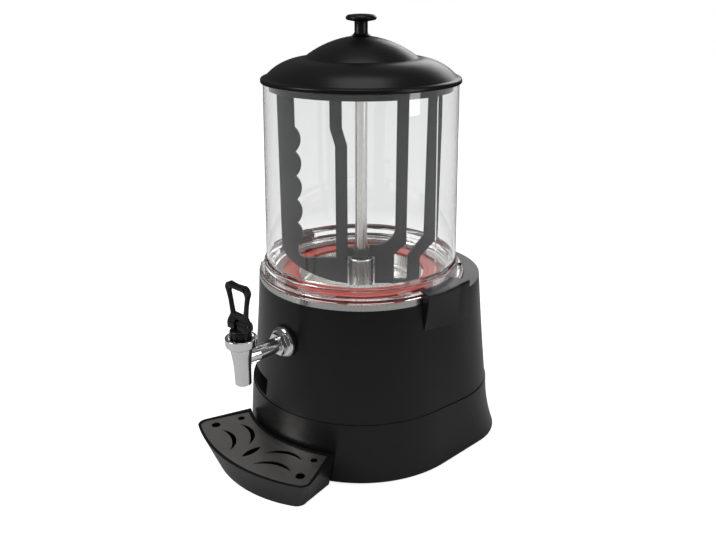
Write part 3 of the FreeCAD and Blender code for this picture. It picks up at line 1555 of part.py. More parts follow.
def faceRecess(item, extra=0):
    angle = size.recessAngle + extra
    item.Placement = FreeCAD.Placement(
        FreeCAD.Vector(0, 0, 0), FreeCAD.Rotation(FreeCAD.Vector(0, 0, -1), angle.value)
    )
    bind(item, "Placement.Rotation.Angle", angle)
    return item


def recessPoint(x, radius):
    angle = size.recessAngle
    x, radius = asSize(x), asSize(radius)
    return (
        x * cosine(angle) - radius * sine(angle),
        -(x * sine(angle)) - radius * cosine(angle),
    )


panelMidZ = size.recessLowZ + size.recessHeight / 2
rockerPlaces = [("mixer", asSize(2.0)), ("heater", size.rockerSpacing + 2.0)]


def controlPanel():
    body = newBody("control_panel")
    plan = newSketch(body, "PanelFace", "XZ_Plane", size.panelRadius - size.panelThickness)
    halfX = size.recessHalfWidth - 3.2
    low = size.recessLowZ + 1.7
    high = size.recessLowZ + size.recessHeight - 1.7
    drawBox(plan, -halfX, low, halfX, high)
    for name, x in rockerPlaces:
        halfWidth = size.rockerWidth / 2 + 0.15
        halfHeight = size.rockerHeight / 2 + 0.15
        drawBox(plan, x - halfWidth, panelMidZ - halfHeight, x + halfWidth, panelMidZ + halfHeight)
    drawCircle(plan, -size.dialOffset, panelMidZ, 3.4)
    drawCircle(plan, size.lampOffset, panelMidZ, size.lampRadius + 0.1)
    pad(body, plan, size.panelThickness, "PanelSlab")
    faceRecess(body)
    keep(body, "control_panel")


def rockerSwitch(name, x):
    front = size.panelRadius
    bezel = asSize(1.6)
    halfWidth = size.rockerWidth / 2
    halfHeight = size.rockerHeight / 2
    body = newBody(name + "_switch_body")
    back = newSketch(body, name + "SwitchBack", "XZ_Plane", front - 18.0)
    drawBox(back, x - halfWidth, panelMidZ - halfHeight, x + halfWidth, panelMidZ + halfHeight)
    pad(body, back, 18.0, name + "SwitchBlock")
    rim = newSketch(body, name + "SwitchRim", "XZ_Plane", front)
    drawBox(
        rim, x - halfWidth - 1, panelMidZ - halfHeight - 1, x + halfWidth + 1, panelMidZ + halfHeight + 1
    )
    pad(body, rim, bezel, name + "SwitchBezel")
    well = newSketch(body, name + "SwitchWell", "XZ_Plane", front + bezel)
    drawBox(
        well, x - halfWidth + 1, panelMidZ - halfHeight + 1.2, x + halfWidth - 1, panelMidZ + halfHeight - 1.2
    )
    pocket(body, well, 12.0, name + "SwitchWellCut")
    faceRecess(body)
    keep(body, name + "_switch_body")

    rocker = newBody(name + "_rocker")
    plan = newSketch(rocker, name + "RockerPlan", "XY_Plane", panelMidZ - halfHeight + 1.5)
    half = halfWidth - 2.5
    drawOutline(plan, [
        (-half, 1.5), (-half, -5.6), (0, -4.4, 34.0), (half, -5.6, 34.0), (half, 1.5),
    ])
    pad(rocker, plan, size.rockerHeight - 3.0, name + "RockerBlock")
    faceRecess(rocker, size.rockerTilt / 2)
    hingeX, hingeY = recessPoint(x, front - 3.5)
    place(rocker, hingeX, hingeY, 0)
    keep(rocker, name + "_rocker")


def recessAim():
    outward = FreeCAD.Rotation(FreeCAD.Vector(0, 0, -1), size.recessAngle.value)
    return outward.multiply(FreeCAD.Rotation(FreeCAD.Vector(1, 0, 0), 90))


def thermostat():
    body = newBody("thermostat_body")
    plan = newSketch(body, "ThermostatBack", "XZ_Plane", size.panelRadius - size.panelThickness - 16.0)
    drawBox(plan, -size.dialOffset - 11, panelMidZ - 8.5, -size.dialOffset + 11, panelMidZ + 8.5)
    pad(body, plan, 16.0, "ThermostatBlock")
    hole = newSketch(body, "ThermostatHole", "XZ_Plane", size.panelRadius)
    drawCircle(hole, -size.dialOffset, panelMidZ, size.spindleRadius + 0.06)
    pocket(body, hole, 12.0, "ThermostatHoleCut")
    faceRecess(body)
    keep(body, "thermostat_body")

    knob = newBody("thermostat_knob")
    front = size.panelRadius + 0.6
    dial = size.dialRadius
    drawOutline(newSketch(knob, "DialProfile"), [
        (0, front - 9.0), (size.spindleRadius, front - 9.0), (size.spindleRadius, front), (dial, front),
        (dial, front + 1.6), (dial - 1.4, front + 2.0), (dial - 2.0, front + 8.0),
        (dial - 3.2, front + 9.0, 1.3), (0, front + 9.0),
    ])
    revolve(knob, knob.Group[-1], "DialTurned")
    mark = newSketch(knob, "DialMark", "XY_Plane", front + 10.0)
    drawBox(mark, -0.5, 2.0, 0.5, dial)
    pocket(knob, mark, 1.6, "DialMarkCut")
    shift = size.dialOffset
    knob.Placement = FreeCAD.Placement(FreeCAD.Vector(0, 0, 0), recessAim())
    sideX, sideY = recessPoint(-shift, 0)
    place(knob, sideX, sideY, panelMidZ)
    keep(knob, "thermostat_knob")

    lamp = newBody("heating_lamp")
    front = size.panelRadius
    drawOutline(newSketch(lamp, "LampProfile"), [
        (0, front - 12.0), (size.lampRadius, front - 12.0), (size.lampRadius, front),
        (size.lampRadius + 1, front), (size.lampRadius + 1, front + 0.8),
        (size.lampRadius - 0.2, front + 0.8),
        (0, front + 2.4, domeBend(size.lampRadius - 0.2, 1.6)),
    ])
    revolve(lamp, lamp.Group[-1], "LampTurned")
    lamp.Placement = FreeCAD.Placement(FreeCAD.Vector(0, 0, 0), recessAim())
    sideX, sideY = recessPoint(size.lampOffset, 0)
    place(lamp, sideX, sideY, panelMidZ)
    keep(lamp, "heating_lamp")


controlPanel()
for switchName, switchX in rockerPlaces:
    rockerSwitch(switchName, switchX)
thermostat()


# Mains inlet in the rear of the skirt

def mainsInlet():
    seatY = size.skirtBottomRear - 1.4
    body = newBody("mains_inlet")
    flange = newSketch(body, "InletFlange", "XZ_Plane", -(seatY + 2.2))
    halfX = size.inletWidth / 2
    halfZ = size.inletHeight / 2
    x = size.inletX
    z = size.inletZ
    drawBox(flange, x - halfX - 3, z - halfZ - 3, x + halfX + 3, z + halfZ + 3)
    pad(body, flange, 2.2, "InletFlangePad")
    block = newSketch(body, "InletBlock", "XZ_Plane", -seatY)
    drawBox(block, x - halfX + 0.3, z - halfZ + 0.3, x + halfX - 0.3, z + halfZ - 0.3)
    pad(body, block, 20.0, "InletBlockPad")
    mouth = newSketch(body, "InletMouth", "XZ_Plane", -(seatY + 2.2))
    drawOutline(mouth, [
        (x - halfX + 2, z - halfZ + 2), (x + halfX - 2, z - halfZ + 2), (x + halfX - 2, z + halfZ - 6),
        (x + halfX - 6, z + halfZ - 2), (x - halfX + 6, z + halfZ - 2), (x - halfX + 2, z + halfZ - 6),
    ])
    pocket(body, mouth, 15.0, "InletMouthCut", backwards=True)
    for index in range(3):
        pin = newSketch(body, "InletPin%d" % index, "XZ_Plane", -(seatY - 14.0))
        pinX = x + (index - 1) * 7.0
        pinZed = z + (1.6 if index == 1 else -1.6)
        drawBox(pin, pinX - 1, pinZed - 2.5, pinX + 1, pinZed + 2.5)
        pad(body, pin, 11.0, "InletPinPad%d" % index, backwards=True)
    return keep(body, "mains_inlet")


mainsInlet()


# Drip tray and its grid

def trayOutline(sketch, inset, inner, innerX, outerX, outerY, front):
    inset = asSize(inset)
    ring = inner + inset
    x = innerX - inset
    chordY = root(ring * ring - x * x)
    cornerX = outerX - inset
    cornerY = outerY - inset * 0.4
    frontY = front - inset
    bend = size.trayCornerBend - inset * 0.3
    nearX = cornerX - 7.0
    nearY = cornerY + 7.0
    half = nearX
    sag = frontY - nearY
    frontBend = (half * half + sag * sag) / (sag * 2)
    drawOutline(sketch, [
        (-x, -chordY), (x, -chordY, ring), (cornerX, -(cornerY - 9.0)), (nearX, -nearY, -bend),
        (-nearX, -nearY, -frontBend), (-cornerX, -(cornerY - 9.0), -bend),
    ])
    return sketch


def root(value):
    return Size(math.sqrt(value.value), "sqrt(%s)" % value.text)


def trayTop(sketch, inset):
    return trayOutline(
        sketch, inset, size.trayInnerTop, size.trayInnerX, size.trayOuterX, size.trayOuterY, size.trayFrontTop
    )


def trayBottom(sketch, inset):
    return trayOutline(
        sketch, inset, size.trayInnerBottom, size.trayInnerBottomX, size.trayOuterBottomX,
        size.trayOuterBottomY, size.trayFrontBottom
    )


def dripTray():
    body = newBody("drip_tray")
    ledgeZ = size.trayTopZ - size.gridBelowRim - size.gridThickness
    low = trayBottom(newSketch(body, "TrayBottom", "XY_Plane", size.trayBottomZ), 0)
    high = trayTop(newSketch(body, "TrayTop", "XY_Plane", size.trayTopZ), 0)
    loft(body, [low, high], "TrayBlock")
    ledge = size.trayRimWidth + size.trayLedge
    floorZ = size.trayBottomZ + size.trayWall
    floorPlan = trayBottom(newSketch(body, "TrayFloor", "XY_Plane", floorZ), size.trayWall)
    mouth = trayTop(newSketch(body, "TrayMouth", "XY_Plane", size.trayTopZ), ledge)
    loft(body, [floorPlan, mouth], "TrayBasin", "PartDesign::SubtractiveLoft")
    seat = trayTop(newSketch(body, "TraySeat", "XY_Plane", size.trayTopZ), size.trayRimWidth)
    pocket(body, seat, size.trayTopZ - ledgeZ, "TraySeatCut")
    tongue = newSketch(body, "TrayTongue", "XY_Plane", size.trayBottomZ)
    drawBox(
        tongue, -size.tongueHalfWidth, -(size.trayInnerBottom + 1.0), size.tongueHalfWidth, -size.tongueReach
    )
    pad(body, tongue, size.skirtBottomZ - size.fitGap - size.trayBottomZ, "TrayTonguePad")
    return keep(body, "drip_tray")


# Half-moon slot between two tips: the first bend is the bulging side
def drawHalfMoon(sketch, first, second, bulge, hollow):
    acrossX = (first[0] - second[0]) / 2
    acrossY = (first[1] - second[1]) / 2
    halfChord = root(acrossX * acrossX + acrossY * acrossY)
    outerBend = (halfChord * halfChord + bulge * bulge) / (bulge * 2)
    innerBend = (halfChord * halfChord + hollow * hollow) / (hollow * 2)
    return drawOutline(sketch, [first + (-innerBend,), second + (outerBend,)])


def dripGrid():
    body = newBody("drip_grid")
    underZ = size.trayTopZ - size.gridBelowRim - size.gridThickness
    plan = trayTop(newSketch(body, "GridPlan", "XY_Plane", underZ), size.trayRimWidth + size.fitGap)
    pad(body, plan, size.gridThickness, "GridSheet")
    depth = size.gridThickness + 1
    cuts = [
        ("BigHole", lambda sketch: drawCircle(sketch, size.bigHoleX, -size.bigHoleY, size.bigHoleRadius)),
        ("SmallHole", lambda sketch: drawCircle(
            sketch, size.smallHoleX, -size.smallHoleY, size.smallHoleRadius)),
        ("OuterMoon", lambda sketch: drawHalfMoon(
            sketch, (size.outerMoonX, -size.outerMoonY),
            (size.outerMoonX - size.moonSpanX, -(size.outerMoonY + size.moonSpanY)),
            size.moonBulge, size.moonHollow)),
        ("InnerMoon", lambda sketch: drawHalfMoon(
            sketch, (size.innerMoonX, -size.innerMoonY),
            (size.innerMoonX - size.moonSpanX, -(size.innerMoonY + size.moonSpanY)),
            size.moonBulge, size.moonHollow)),
    ]
    for name, draw in cuts:
        sketch = newSketch(body, "Grid" + name, "XY_Plane", underZ + depth)
        draw(sketch)
        hole = pocket(body, sketch, depth + 1, "Grid" + name + "Cut")
        mirrored(body, hole, "Grid" + name + "Mirror")
    leaf = newSketch(body, "GridLeaf", "XY_Plane", underZ + depth)
    tipNear = size.leafNearY
    tipFar = size.leafNearY + size.leafLength
    halfLength = size.leafLength / 2
    leafBend = (halfLength * halfLength + size.leafHalfWidth * size.leafHalfWidth) / (size.leafHalfWidth * 2)
    drawOutline(leaf, [(0, -tipNear, leafBend), (0, -tipFar, leafBend)])
    pocket(body, leaf, depth + 1, "GridLeafCut")
    return keep(body, "drip_grid")


dripTray()
dripGrid()


# Checks before writing

def finish():
    doc.recompute()
    failed = [item.Name for item in doc.Objects if "Invalid" in item.State or "Error" in item.State]
    if failed:
        raise RuntimeError("failed objects: " + ", ".join(failed))
    os.makedirs("parts", exist_ok=True)
    for item in nodes:
        shape = item.Shape
        if shape.isNull() or not shape.isValid():
            raise RuntimeError("bad shape: " + item.Label)
        shape.exportStep("parts/%s.step" % item.Label)
        print(item.Label, len(shape.Solids), round(shape.Volume / 1000.0, 2), "cm3")


finish()
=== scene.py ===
import json
import math
import bmesh
import bpy
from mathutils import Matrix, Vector
from mathutils.bvhtree import BVHTree


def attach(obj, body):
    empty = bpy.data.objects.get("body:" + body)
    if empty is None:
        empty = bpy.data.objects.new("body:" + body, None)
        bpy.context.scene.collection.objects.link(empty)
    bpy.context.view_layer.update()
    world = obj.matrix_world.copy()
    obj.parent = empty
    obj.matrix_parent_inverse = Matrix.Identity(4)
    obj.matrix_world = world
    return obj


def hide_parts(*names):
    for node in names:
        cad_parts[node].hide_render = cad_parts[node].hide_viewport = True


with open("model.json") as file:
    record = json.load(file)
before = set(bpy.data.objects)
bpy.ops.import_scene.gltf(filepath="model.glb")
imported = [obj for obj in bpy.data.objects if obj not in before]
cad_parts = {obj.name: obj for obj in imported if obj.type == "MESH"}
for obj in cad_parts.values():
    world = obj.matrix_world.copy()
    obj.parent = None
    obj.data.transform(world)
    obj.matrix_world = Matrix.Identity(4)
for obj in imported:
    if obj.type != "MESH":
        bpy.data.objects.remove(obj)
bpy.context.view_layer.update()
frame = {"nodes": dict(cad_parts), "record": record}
nodes = frame["nodes"]
bodies = frame["record"]["behaviour"]["bodies"]
bodyOf = {node: body for body, members in bodies.items() for node in members}
slotOf = {item["node"]: item["material_slot"] for item in frame["record"]["subparts"]}
mm = 0.001
print("frame loaded:", len(nodes), "nodes")

scene = bpy.context.scene
scene.view_settings.view_transform = "Standard"


# Point at a compass turn from the front, a distance out and a height up
def aroundPoint(angle, distance, height):
    turn = math.radians(angle)
    return math.sin(turn) * distance, -math.cos(turn) * distance, height


# Camera, as the photograph was taken; lengths in metres, lens and sensor in millimetres

cameraSetup = {
    "azimuth": 43.18,
    "distance": 0.98506,  # from the tank's axis, along the table
    "height": 0.6077,
    "pitch": 20.77,
    "lens": 38.95,
    "sensor": 36.0,
    "axisPixel": 361.13,
    "imageWidth": 716,
    "clip": (0.05, 30.0),
}


def placeCamera(setup):
    data = bpy.data.cameras.new("photoCamera")
    data.lens = setup["lens"]
    data.sensor_width = setup["sensor"]
    data.shift_x = (setup["imageWidth"] / 2 - setup["axisPixel"]) / setup["imageWidth"]
    data.clip_start, data.clip_end = setup["clip"]
    item = bpy.data.objects.new("photoCamera", data)
    scene.collection.objects.link(item)
    item.location = aroundPoint(setup["azimuth"], setup["distance"], setup["height"])
    item.rotation_euler = (math.radians(90 - setup["pitch"]), 0, math.radians(setup["azimuth"]))
    scene.camera = item


placeCamera(cameraSetup)


# Studio: white floor and backdrop, soft lamps; the gloss values are what shiny faces mirror

studio = {
    "floorSize": 14.0,
    "floorColour": (0.86, 0.86, 0.86, 1),
    "floorMirrored": (0.14, 0.14, 0.14, 1),  # what gloss shows of the floor beyond mirroredFar
    "mirroredNear": 0.65,
    "mirroredFar": 1.1,
    "floorGlow": 0.86,
    "glossRise": (-0.1, 0.8),
    "glossTop": 0.12,
    "glossHorizon": 0.07,
    "ambient": 0.16,
    "lamps": [
        # name, azimuth, height, distance, width, tall, watts
        ("keyLamp", -25, 1.25, 1.9, 0.7, 1.3, 15),
        ("sideLamp", 105, 0.9, 1.9, 0.5, 1.5, 8),
        ("rearLamp", 200, 1.2, 2.2, 1.2, 0.8, 7),
        ("topLamp", 40, 2.3, 0.25, 1.2, 1.2, 8),
    ],
    "aimHeight": 0.25,
}


def nodeTree(owner):
    owner.use_nodes = True
    tree = owner.node_tree
    tree.nodes.clear()
    return tree


def addNode(tree, kind, **settings):
    node = tree.nodes.new(kind)
    for key, value in settings.items():
        setattr(node, key, value)
    return node


# The light path, and a value that is one for rays that see the white studio itself
def backdropRays(tree):
    path = addNode(tree, "ShaderNodeLightPath")
    seen = addNode(tree, "ShaderNodeMath", operation="MAXIMUM")
    tree.links.new(path.outputs["Is Camera Ray"], seen.inputs[0])
    tree.links.new(path.outputs["Is Transmission Ray"], seen.inputs[1])
    return path, seen


def mapRange(tree, value, low, high, first=0.0, last=1.0):
    node = addNode(tree, "ShaderNodeMapRange")
    for label, number in (("From Min", low), ("From Max", high), ("To Min", first), ("To Max", last)):
        node.inputs[label].default_value = number
    tree.links.new(value, node.inputs["Value"])
    return node.outputs["Result"]


def makeWorld(setup):
    world = bpy.data.worlds.new("studioWorld")
    scene.world = world
    tree = nodeTree(world)
    path, seen = backdropRays(tree)
    coordinates = addNode(tree, "ShaderNodeTexCoord")
    split = addNode(tree, "ShaderNodeSeparateXYZ")
    tree.links.new(coordinates.outputs["Generated"], split.inputs[0])
    rise = mapRange(tree, split.outputs["Z"], *setup["glossRise"], setup["glossHorizon"], setup["glossTop"])
    glossy = addNode(tree, "ShaderNodeMix", data_type="FLOAT")
    glossy.inputs["A"].default_value = setup["ambient"]
    tree.links.new(path.outputs["Is Glossy Ray"], glossy.inputs["Factor"])
    tree.links.new(rise, glossy.inputs["B"])
    white = addNode(tree, "ShaderNodeMix", data_type="FLOAT")
    white.inputs["B"].default_value = 1.0
    tree.links.new(seen.outputs[0], white.inputs["Factor"])
    tree.links.new(glossy.outputs["Result"], white.inputs["A"])
    background = addNode(tree, "ShaderNodeBackground")
    background.inputs["Color"].default_value = (1, 1, 1, 1)
    tree.links.new(white.outputs["Result"], background.inputs["Strength"])
    output = addNode(tree, "ShaderNodeOutputWorld")
    tree.links.new(background.outputs[0], output.inputs["Surface"])


def makeFloor(setup):
    half = setup["floorSize"] / 2
    corners = [(-half, -half, 0), (half, -half, 0), (half, half, 0), (-half, half, 0)]
    mesh = bpy.data.meshes.new("studioFloor")
    mesh.from_pydata(corners, [], [(0, 1, 2, 3)])
    item = bpy.data.objects.new("studioFloor", mesh)
    scene.collection.objects.link(item)
    material = bpy.data.materials.new("studioFloor")
    tree = nodeTree(material)
    path, seen = backdropRays(tree)
    place = addNode(tree, "ShaderNodeNewGeometry")
    away = addNode(tree, "ShaderNodeVectorMath", operation="LENGTH")
    tree.links.new(place.outputs["Position"], away.inputs[0])
    fade = mapRange(tree, away.outputs["Value"], setup["mirroredNear"], setup["mirroredFar"])
    mirrored = addNode(tree, "ShaderNodeMix", data_type="RGBA")
    mirrored.inputs["A"].default_value = setup["floorColour"]
    mirrored.inputs["B"].default_value = setup["floorMirrored"]
    tree.links.new(fade, mirrored.inputs["Factor"])
    shade = addNode(tree, "ShaderNodeMix", data_type="RGBA")
    shade.inputs["A"].default_value = setup["floorColour"]
    tree.links.new(mirrored.outputs["Result"], shade.inputs["B"])
    tree.links.new(path.outputs["Is Glossy Ray"], shade.inputs["Factor"])
    matte = addNode(tree, "ShaderNodeBsdfDiffuse")
    tree.links.new(shade.outputs["Result"], matte.inputs["Color"])
    strength = addNode(tree, "ShaderNodeMath", operation="MULTIPLY")
    strength.inputs[1].default_value = setup["floorGlow"]
    tree.links.new(seen.outputs[0], strength.inputs[0])
    glow = addNode(tree, "ShaderNodeEmission")
    tree.links.new(strength.outputs[0], glow.inputs["Strength"])
    both = addNode(tree, "ShaderNodeAddShader")
    tree.links.new(matte.outputs[0], both.inputs[0])
    tree.links.new(glow.outputs[0], both.inputs[1])
    output = addNode(tree, "ShaderNodeOutputMaterial")
    tree.links.new(both.outputs[0], output.inputs["Surface"])
    mesh.materials.append(material)


def makeLamps(setup):
    for name, azimuth, height, distance, width, tall, watts in setup["lamps"]:
        data = bpy.data.lights.new(name, "AREA")
        data.shape = "RECTANGLE"
        data.size = width
        data.size_y = tall
        data.energy = watts
        item = bpy.data.objects.new(name, data)
        scene.collection.objects.link(item)
        item.location = aroundPoint(azimuth, distance, height)
        aim = Vector((0, 0, setup["aimHeight"])) - item.location
        item.rotation_euler = aim.to_track_quat("-Z", "Y").to_euler()


makeWorld(studio)
makeFloor(studio)
makeLamps(studio)
print("studio ready")


# Shader groups shared by several materials

def newGroup(name, inputs, outputs):
    group = bpy.data.node_groups.new(name, "ShaderNodeTree")
    for label, kind, value in inputs:
        socket = group.interface.new_socket(label, in_out="INPUT", socket_type=kind)
        socket.default_value = value
    for label, kind in outputs:
        group.interface.new_socket(label, in_out="OUTPUT", socket_type=kind)
    return group, addNode(group, "NodeGroupInput"), addNode(group, "NodeGroupOutput")


def calculate(tree, operation, first, second):
    node = addNode(tree, "ShaderNodeMath", operation=operation)
    for socket, value in zip(node.inputs, (first, second)):
        if isinstance(value, (int, float)):
            socket.default_value = value
        else:
            tree.links.new(value, socket)
    return node.outputs[0]


def objectNoise(tree, scale, detail=3.0, stretch=None):
    coordinates = addNode(tree, "ShaderNodeTexCoord")
    vector = coordinates.outputs["Object"]
    if stretch is not None:
        multiply = addNode(tree, "ShaderNodeVectorMath", operation="MULTIPLY")
        tree.links.new(vector, multiply.inputs[0])
        tree.links.new(stretch, multiply.inputs[1])
        vector = multiply.outputs[0]
    noise = addNode(tree, "ShaderNodeTexNoise")
    noise.inputs["Detail"].default_value = detail
    tree.links.new(vector, noise.inputs["Vector"])
    if isinstance(scale, (int, float)):
        noise.inputs["Scale"].default_value = scale
    else:
        tree.links.new(scale, noise.inputs["Scale"])
    return noise.outputs["Fac"]


skinOutputs = [("Colour", "NodeSocketColor"), ("Roughness", "NodeSocketFloat"), ("Height", "NodeSocketFloat")]


# Relief, roughness and shade of a skin, the last two spread by a pattern about 0.5
def fillSkin(group, start, end, relief, reliefHeight, pattern, shadeSwing):
    height = calculate(group, "MULTIPLY", relief, start.outputs[reliefHeight])
    group.links.new(height, end.inputs["Height"])
    swing = calculate(group, "SUBTRACT", pattern, 0.5)
    span = calculate(group, "MULTIPLY", start.outputs["Spread"], 2.0)
    spread = calculate(group, "MULTIPLY", swing, span)
    roughness = calculate(group, "ADD", start.outputs["Roughness"], spread)
    group.links.new(roughness, end.inputs["Roughness"])
    tint = addNode(group, "ShaderNodeVectorMath", operation="SCALE")
    group.links.new(start.outputs["Colour"], tint.inputs[0])
    shade = mapRange(group, pattern, 0.0, 1.0, 1 - shadeSwing, 1 + shadeSwing)
    group.links.new(shade, tint.inputs["Scale"])
    group.links.new(tint.outputs[0], end.inputs["Colour"])


# Fine moulded skin: grain height, cloudy roughness and a slight change of shade
mouldedLook = {"grainDetail": 2.0, "cloudScale": 22.0, "cloudDetail": 4.0, "shadeSwing": 0.12}


def mouldedSkinGroup(look):
    group, start, end = newGroup(
        "mouldedSkin",
        [
            ("Grain Scale", "NodeSocketFloat", 1400.0),
            ("Grain Height", "NodeSocketFloat", 0.5),
            ("Roughness", "NodeSocketFloat", 0.4),
            ("Spread", "NodeSocketFloat", 0.06),
            ("Colour", "NodeSocketColor", (0.02, 0.02, 0.02, 1)),
        ],
        skinOutputs,
    )
    grain = objectNoise(group, start.outputs["Grain Scale"], look["grainDetail"])
    cloud = objectNoise(group, look["cloudScale"], look["cloudDetail"])
    fillSkin(group, start, end, grain, "Grain Height", cloud, look["shadeSwing"])
    return group


# Brushed or drawn metal: streaks along the axis that Stretch leaves small
brushedLook = {
    "streakDetail": 5.0,
    "streakShare": 0.6,
    "cloudScale": 14.0,
    "cloudDetail": 3.0,
    "shadeSwing": 0.14,
}


def brushedMetalGroup(look):
    group, start, end = newGroup(
        "brushedMetal",
        [
            ("Stretch", "NodeSocketVector", (4.0, 400.0, 400.0)),
            ("Streak Height", "NodeSocketFloat", 0.3),
            ("Roughness", "NodeSocketFloat", 0.3),
            ("Spread", "NodeSocketFloat", 0.1),
            ("Colour", "NodeSocketColor", (0.6, 0.6, 0.6, 1)),
        ],
        skinOutputs,
    )
    streak = objectNoise(group, 1.0, look["streakDetail"], start.outputs["Stretch"])
    cloud = objectNoise(group, look["cloudScale"], look["cloudDetail"])
    streaks = calculate(group, "MULTIPLY", streak, look["streakShare"])
    clouds = calculate(group, "MULTIPLY", cloud, 1 - look["streakShare"])
    pattern = calculate(group, "ADD", streaks, clouds)
    fillSkin(group, start, end, streak, "Streak Height", pattern, look["shadeSwing"])
    return group


mouldedSkin = mouldedSkinGroup(mouldedLook)
brushedMetal = brushedMetalGroup(brushedLook)


# A material whose shader takes its roughness and bump from a skin; values sit on the sockets
def skinnedShader(name, group, groupValues, shaderValues, bump):
    material = bpy.data.materials.new(name)
    tree = nodeTree(material)
    shader = addNode(tree, "ShaderNodeBsdfPrincipled")
    for label, value in shaderValues.items():
        shader.inputs[label].default_value = value
    skin = addNode(tree, "ShaderNodeGroup", node_tree=group)
    for label, value in groupValues.items():
        skin.inputs[label].default_value = value
    tree.links.new(skin.outputs["Roughness"], shader.inputs["Roughness"])
    relief = addNode(tree, "ShaderNodeBump")
    relief.inputs["Strength"].default_value, relief.inputs["Distance"].default_value = bump
    tree.links.new(skin.outputs["Height"], relief.inputs["Height"])
    tree.links.new(relief.outputs[0], shader.inputs["Normal"])
    return material, shader, skin


def newMaterial(name, group, groupValues, shaderValues, strength):
    material, shader, skin = skinnedShader(name, group, groupValues, shaderValues, (strength, 0.0002))
    tree = material.node_tree
    tree.links.new(skin.outputs["Colour"], shader.inputs["Base Color"])
    output = addNode(tree, "ShaderNodeOutputMaterial")
    tree.links.new(shader.outputs[0], output.inputs["Surface"])
    return material


def plasticMaterial(name, colour, roughness, grain=1400.0, spread=0.05, strength=0.12, **shaderValues):
    look = {"Colour": colour + (1,), "Roughness": roughness, "Spread": spread}
    look.update({"Grain Scale": grain, "Grain Height": 1.0})
    return newMaterial(name, mouldedSkin, look, shaderValues, strength)


def metalMaterial(name, colour, roughness, stretch, spread=0.06, strength=0.06):
    look = {"Colour": colour + (1,), "Roughness": roughness, "Spread": spread}
    look.update({"Stretch": stretch, "Streak Height": 1.0})
    return newMaterial(name, brushedMetal, look, {"Metallic": 1.0}, strength)


# Clear plastic lets lamps through, so that what stands in the tank is lit
clearLook = {"spread": 0.01, "wave": 9.0, "bump": (0.03, 0.002), "shadowTint": (0.93, 0.94, 0.94, 1)}


def clearMaterial(name, colour, roughness, ior, look):
    material, shader, skin = skinnedShader(
        name, mouldedSkin,
        {"Roughness": roughness, "Spread": look["spread"], "Grain Scale": look["wave"]},
        {"Base Color": colour + (1,), "Transmission Weight": 1.0, "IOR": ior},
        look["bump"],
    )
    tree = material.node_tree
    path = addNode(tree, "ShaderNodeLightPath")
    through = addNode(tree, "ShaderNodeBsdfTransparent")
    through.inputs["Color"].default_value = look["shadowTint"]
    mix = addNode(tree, "ShaderNodeMixShader")
    tree.links.new(path.outputs["Is Shadow Ray"], mix.inputs["Fac"])
    tree.links.new(shader.outputs[0], mix.inputs[1])
    tree.links.new(through.outputs[0], mix.inputs[2])
    output = addNode(tree, "ShaderNodeOutputMaterial")
    tree.links.new(mix.outputs[0], output.inputs["Surface"])
    return material


finishes = {
    "black_plastic": plasticMaterial(
        "blackSatinPlastic", (0.0085, 0.0085, 0.009), 0.3, **{"Specular IOR Level": 0.32}
    ),
    "dark_nylon": plasticMaterial("darkPaddleNylon", (0.026, 0.026, 0.027), 0.46, grain=900.0),
    "clear_plastic": clearMaterial("clearTankPlastic", (0.945, 0.95, 0.95), 0.015, 1.49, clearLook),
    "red_silicone": plasticMaterial("redSilicone", (0.5, 0.035, 0.018), 0.42, 700.0, 0.04, 0.08),
    "black_rubber": plasticMaterial("blackRubber", (0.02, 0.02, 0.02), 0.72, 600.0, 0.08, 0.3),
    "steel": metalMaterial("satinSteel", (0.62, 0.61, 0.59), 0.27, (300.0, 300.0, 9.0)),
    "chrome": metalMaterial("polishedChrome", (0.86, 0.86, 0.87), 0.14, (40.0, 40.0, 40.0), 0.03, 0.015),
    "aluminium": metalMaterial(
        "castAluminium", (0.55, 0.55, 0.56), 0.45, (260.0, 260.0, 260.0), spread=0.1, strength=0.3
    ),
    "bronze": metalMaterial("sinteredBronze", (0.5, 0.36, 0.18), 0.4, (260.0, 260.0, 260.0)),
    "painted_motor": plasticMaterial("motorPaint", (0.06, 0.062, 0.066), 0.4, 500.0, 0.06, 0.2),
    "white_nylon": plasticMaterial("naturalNylon", (0.68, 0.66, 0.6), 0.48, grain=700.0),
    "panel_plastic": plasticMaterial("panelPlastic", (0.03, 0.03, 0.032), 0.44, grain=900.0),
    "amber_lens": plasticMaterial(
        "amberLens", (0.75, 0.26, 0.03), 0.16, 300.0, 0.02, 0.02, **{"Transmission Weight": 0.4}
    ),
    "red_rocker": plasticMaterial("redRocker", (0.5, 0.02, 0.015), 0.2, 700.0, 0.03, 0.03),
    "grid_steel": metalMaterial(
        "brushedGridSteel", (0.68, 0.65, 0.61), 0.32, (5.0, 420.0, 420.0), spread=0.12, strength=0.2
    ),
}
print("finishes ready")


# Pieces that follow the photograph more closely than the CAD solids do; lengths in millimetres

# Value of a table of (place, value) pairs, straight between its rows
def tableValue(table, at):
    if at <= table[0][0]:
        return table[0][1]
    for (low, first), (high, second) in zip(table, table[1:]):
        if at <= high:
            return first + (second - first) * (at - low) / (high - low)
    return table[-1][1]


def addPiece(name, mesh, body, slot, replaced=(), sharp=32):
    mesh.shade_smooth()
    mesh.set_sharp_from_angle(angle=math.radians(sharp))
    mesh.materials.append(finishes[slot])
    item = bpy.data.objects.new(name, mesh)
    scene.collection.objects.link(item)
    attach(item, body)
    if replaced:
        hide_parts(*replaced)
    return item


